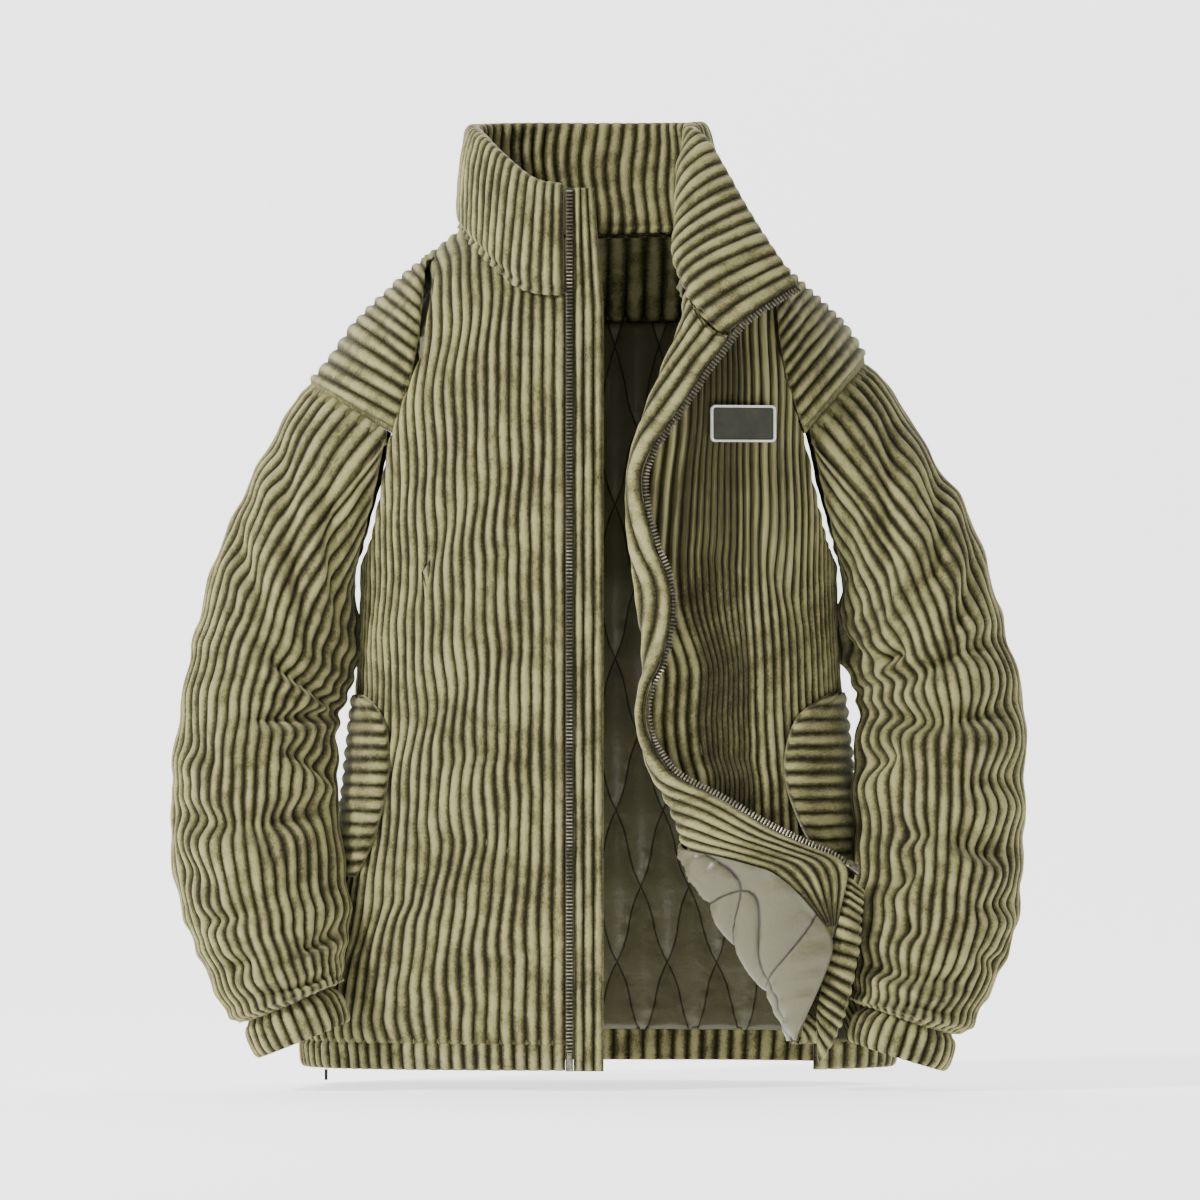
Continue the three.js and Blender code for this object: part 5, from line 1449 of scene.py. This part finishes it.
# %% Pile group
def pile_group():
    group, given, out = new_group(
        "pile", [("Cloth", "NodeSocketVector"), ("Place", "NodeSocketVector")],
        [("Nap", "NodeSocketFloat"), ("Tufts", "NodeSocketFloat")])
    patches = noise(group, given["Place"], 22, 4)
    streaks = noise(group, stretch(group, given["Cloth"], (260, 46, 1)), 1, 3)
    both = maths(group, "MULTIPLY_ADD", patches, 0.6)
    both.node.inputs[2].default_value = 0.0
    link(group, maths(group, "ADD", both, maths(group, "MULTIPLY", streaks, 0.4)), out["Nap"])
    fine = noise(group, stretch(group, given["Cloth"], (900, 520, 1)), 1, 2)
    rows = noise(group, stretch(group, given["Cloth"], (300, 190, 1)), 1, 2)
    link(group, maths(group, "ADD", maths(group, "MULTIPLY", fine, 0.55),
                      maths(group, "MULTIPLY", rows, 0.45)), out["Tufts"])
    return group


PILE = pile_group()


def pile(tree):
    made_node = node(tree, "ShaderNodeGroup", node_tree=PILE)
    uv = node(tree, "ShaderNodeUVMap", uv_map="cloth")
    place_node = node(tree, "ShaderNodeTexCoord")
    link(tree, uv.outputs["UV"], made_node.inputs["Cloth"])
    link(tree, place_node.outputs["Object"], made_node.inputs["Place"])
    return made_node.outputs


# %% Corduroy
# Painted shade and highlight: a dark groove colour painted in shade, a middle colour for the slopes and a
# pale crest colour painted as lit.
GROOVE_SHADE, SLOPE_HALF_SHADE, CREST_HIGHLIGHT = (0.010, 0.0085, 0.0022), (0.090, 0.083, 0.030), (0.290, 0.272, 0.125)


def corduroy():
    material, tree, shader = new_material("olive_corduroy", 0.92)
    nap = pile(tree)
    height = node(tree, "ShaderNodeAttribute", attribute_name="crest").outputs["Fac"]
    # The crest height paints light and shade into the colour, painted shade low and a painted highlight
    # high; the nap and tuft noise adds the cloth's own uneven tone.
    painted_shade_and_nap = maths(tree, "ADD", height, ramp(tree, nap["Nap"], 0.3, 0.7, -0.13, 0.13))
    painted_shade_and_nap = maths(tree, "ADD", painted_shade_and_nap, ramp(tree, nap["Tufts"], 0.3, 0.7, -0.2, 0.2))
    colour = mix(tree, ramp(tree, painted_shade_and_nap, 0.12, 0.58), GROOVE_SHADE, SLOPE_HALF_SHADE)
    colour = mix(tree, ramp(tree, painted_shade_and_nap, 0.50, 0.92), colour, CREST_HIGHLIGHT)
    link(tree, colour, shader.inputs["Base Color"])
    link(tree, ramp(tree, nap["Tufts"], 0.3, 0.7, 0.84, 0.98), shader.inputs["Roughness"])
    shader.inputs["Sheen Weight"].default_value = 0.45
    shader.inputs["Sheen Roughness"].default_value = 0.4
    shader.inputs["Sheen Tint"].default_value = (0.72, 0.70, 0.46, 1)
    shader.inputs["Specular IOR Level"].default_value = 0.2
    bump(tree, shader, nap["Tufts"], 0.0016, 1.0)
    return material


# %% Satin
def quilt_lines(tree, uv):
    """How far a place is from the nearest stitched line, as two crossing waves."""
    split = node(tree, "ShaderNodeSeparateXYZ")
    link(tree, uv, split.inputs[0])
    a = maths(tree, "MULTIPLY", split.outputs[0], 1000 / QUILT_WIDTH)
    z = maths(tree, "MULTIPLY", split.outputs[1], 1000 / QUILT_HEIGHT)
    curve = maths(tree, "SINE", maths(tree, "MULTIPLY", z, 4 * math.pi), 0.0)
    up = maths(tree, "ADD", z, maths(tree, "MULTIPLY", curve, QUILT_CURVE))
    waves = [
        maths(tree, "ABSOLUTE", maths(tree, "SINE", maths(
            tree, "MULTIPLY", maths(tree, way, a, up), math.pi), 0.0), 0.0)
        for way in ("ADD", "SUBTRACT")
    ]
    return maths(tree, "MINIMUM", *waves)


def satin_material():
    material, tree, shader = new_material("olive_satin", 0.34)
    uv = node(tree, "ShaderNodeUVMap", uv_map="cloth").outputs["UV"]
    stitched = quilt_lines(tree, uv)
    threads = noise(tree, stretch(tree, uv, (2600, 420, 1)), 1, 2)
    wrinkles = noise(tree, stretch(tree, uv, (60, 150, 1)), 1, 4, 0.55)
    shade = mix(tree, ramp(tree, threads, 0.3, 0.7), (0.088, 0.084, 0.043), (0.120, 0.115, 0.063))
    # Painted shade: the satin is painted near-black along the stitched lines, in the pinched grooves between
    # the puffs.
    colour = mix(tree, ramp(tree, stitched, 0.015, 0.07), (0.012, 0.011, 0.004), shade)
    link(tree, colour, shader.inputs["Base Color"])
    link(tree, ramp(tree, threads, 0.3, 0.7, 0.30, 0.44), shader.inputs["Roughness"])
    shader.inputs["Sheen Weight"].default_value = 0.15
    shader.inputs["Sheen Tint"].default_value = (0.8, 0.8, 0.6, 1)
    both = maths(tree, "ADD", maths(tree, "MULTIPLY", threads, 0.05), wrinkles)
    both = maths(tree, "ADD", both, ramp(tree, stitched, 0.0, 0.10, -1.2, 0.0))
    bump(tree, shader, both, 0.0010, 0.7)
    return material


# %% Tape, metal, rubber and cord
def tape_material():
    material, tree, shader = new_material("woven_tape", 0.9)
    uv = node(tree, "ShaderNodeUVMap", uv_map="cloth").outputs["UV"]
    weave = node(tree, "ShaderNodeTexWave", wave_type="BANDS", bands_direction="DIAGONAL")
    weave.inputs["Scale"].default_value = 450
    weave.inputs["Distortion"].default_value = 0.6
    link(tree, uv, weave.inputs["Vector"])
    colour = mix(tree, weave.outputs["Fac"], (0.022, 0.021, 0.011), (0.060, 0.058, 0.034))
    link(tree, colour, shader.inputs["Base Color"])
    bump(tree, shader, weave.outputs["Fac"], 0.0002)
    return material


def metal_material():
    material, tree, shader = new_material("dull_brass", 0.4)
    place_node = node(tree, "ShaderNodeTexCoord").outputs["Object"]
    tarnish = noise(tree, place_node, 260, 4)
    scuffs = noise(tree, place_node, 2400, 2)
    colour = mix(tree, ramp(tree, tarnish, 0.35, 0.65), (0.10, 0.09, 0.06), (0.34, 0.31, 0.23))
    link(tree, colour, shader.inputs["Base Color"])
    link(tree, ramp(tree, scuffs, 0.3, 0.7, 0.28, 0.52), shader.inputs["Roughness"])
    shader.inputs["Metallic"].default_value = 1.0
    bump(tree, shader, scuffs, 0.00006)
    return material


def rubber_material(name, dark, light):
    material, tree, shader = new_material(name, 0.6)
    place_node = node(tree, "ShaderNodeTexCoord").outputs["Object"]
    grain = noise(tree, place_node, 900, 3)
    dust = noise(tree, place_node, 70, 4)
    link(tree, mix(tree, ramp(tree, dust, 0.35, 0.7), dark, light), shader.inputs["Base Color"])
    link(tree, ramp(tree, grain, 0.3, 0.7, 0.5, 0.72), shader.inputs["Roughness"])
    bump(tree, shader, grain, 0.00008)
    return material


MATERIALS = {
    "corduroy": corduroy(),
    "satin": satin_material(),
    "zip_tape": tape_material(),
    "zip_metal": metal_material(),
}
for name, slot in made.items():
    data = bpy.data.objects[name].data
    data.materials.clear()
    data.materials.append(MATERIALS[slot])
border = rubber_material("white_rubber", (0.60, 0.60, 0.54), (0.74, 0.74, 0.69))
field = rubber_material("olive_rubber", (0.016, 0.017, 0.008), (0.030, 0.031, 0.016))
badge_plate.data.materials.clear()
badge_plate.data.materials.append(border)
badge_plate.data.materials.append(field)
for polygon in badge_plate.data.polygons:
    face_middle = polygon.center - Vector(badge_centre * MM)
    polygon.material_index = int(polygon.area > 1e-3 and face_middle.dot(Vector(badge_out)) > 0)


def cord_material():
    material, tree, shader = new_material("braided_cord", 0.85)
    place_node = node(tree, "ShaderNodeTexCoord").outputs["Object"]
    braid = noise(tree, stretch(tree, place_node, (900, 900, 500)), 1, 2)
    colour = mix(tree, ramp(tree, braid, 0.35, 0.65), (0.008, 0.008, 0.006), (0.035, 0.034, 0.026))
    link(tree, colour, shader.inputs["Base Color"])
    bump(tree, shader, braid, 0.0004)
    return material


cord_object = bpy.data.objects["hem_cord_end"]
for slot in cord_object.material_slots:
    slot.material = cord_material()
print("materials:", [m.name for m in bpy.data.materials])

# %% [markdown]
# The jacket stands in front of a pale backdrop that curves down into the floor, in
# soft light from the upper left. The camera looks straight at it from 10 metres away,
# with a long lens, so that the frame has the photograph's proportions.

# %% Floor, light and camera
def backdrop():
    side = np.linspace(-6, 6, 3)
    turn = np.linspace(0, math.pi / 2, 16)
    ys = np.concatenate([[-2.6, -1, 1.2], 1.2 + 1.5 * np.sin(turn), [2.7]])
    zs = np.concatenate([[0, 0, 0], 1.5 - 1.5 * np.cos(turn), [6]]) - 0.70
    grid = points(side[None, :], ys[:, None], zs[:, None])
    rows, cols = grid.shape[:2]
    ids = np.arange(rows * cols).reshape(rows, cols)
    faces = np.stack([ids[:-1, :-1], ids[:-1, 1:], ids[1:, 1:], ids[1:, :-1]], -1).reshape(-1, 4)
    mesh = bpy.data.meshes.new("backdrop")
    mesh.from_pydata(grid.reshape(-1, 3).tolist(), [], faces.tolist())
    mesh.polygons.foreach_set("use_smooth", [True] * len(mesh.polygons))
    obj = bpy.data.objects.new("backdrop", mesh)
    bpy.context.collection.objects.link(obj)
    material, tree, shader = new_material("paper", 0.9)
    grain = noise(tree, node(tree, "ShaderNodeTexCoord").outputs["Object"], 3, 2)
    link(tree, mix(tree, grain, (0.80, 0.80, 0.80), (0.82, 0.82, 0.82)), shader.inputs["Base Color"])
    shader.inputs["Emission Color"].default_value = (1, 1, 1, 1)
    shader.inputs["Emission Strength"].default_value = 1.7
    mesh.materials.append(material)


def area_light(name, place_at, aim, size, power, colour=(1, 1, 1)):
    data = bpy.data.lights.new(name, "AREA")
    data.size, data.energy, data.color = size, power, colour
    obj = bpy.data.objects.new(name, data)
    obj.location = place_at
    obj.rotation_euler = (Vector(aim) - Vector(place_at)).to_track_quat("-Z", "Y").to_euler()
    bpy.context.collection.objects.link(obj)


backdrop()
world = bpy.data.worlds.new("studio")
world.use_nodes = True
world.node_tree.nodes["Background"].inputs["Color"].default_value = (1, 1, 1, 1)
world.node_tree.nodes["Background"].inputs["Strength"].default_value = 0.22
bpy.context.scene.world = world
area_light("key", (-2.9, -2.2, 2.1), (0, 0, -0.25), 0.6, 290)
area_light("fill", (2.6, -3.0, 0.8), (0, 0, -0.3), 2.5, 14)
area_light("rim", (0.4, 1.2, 2.6), (0, 0, -0.2), 1.5, 30)

CAMERA_DISTANCE, FRAME_WIDTH = 10.0, 0.984
camera = bpy.data.cameras.new("camera")
camera.sensor_width, camera.lens = 36, 36 * CAMERA_DISTANCE / FRAME_WIDTH
camera_object = bpy.data.objects.new("camera", camera)
camera_object.location = (0.001, -CAMERA_DISTANCE - 0.08, -0.299)
camera_object.rotation_euler = (math.pi / 2, 0, 0)
bpy.context.collection.objects.link(camera_object)
bpy.context.scene.camera = camera_object
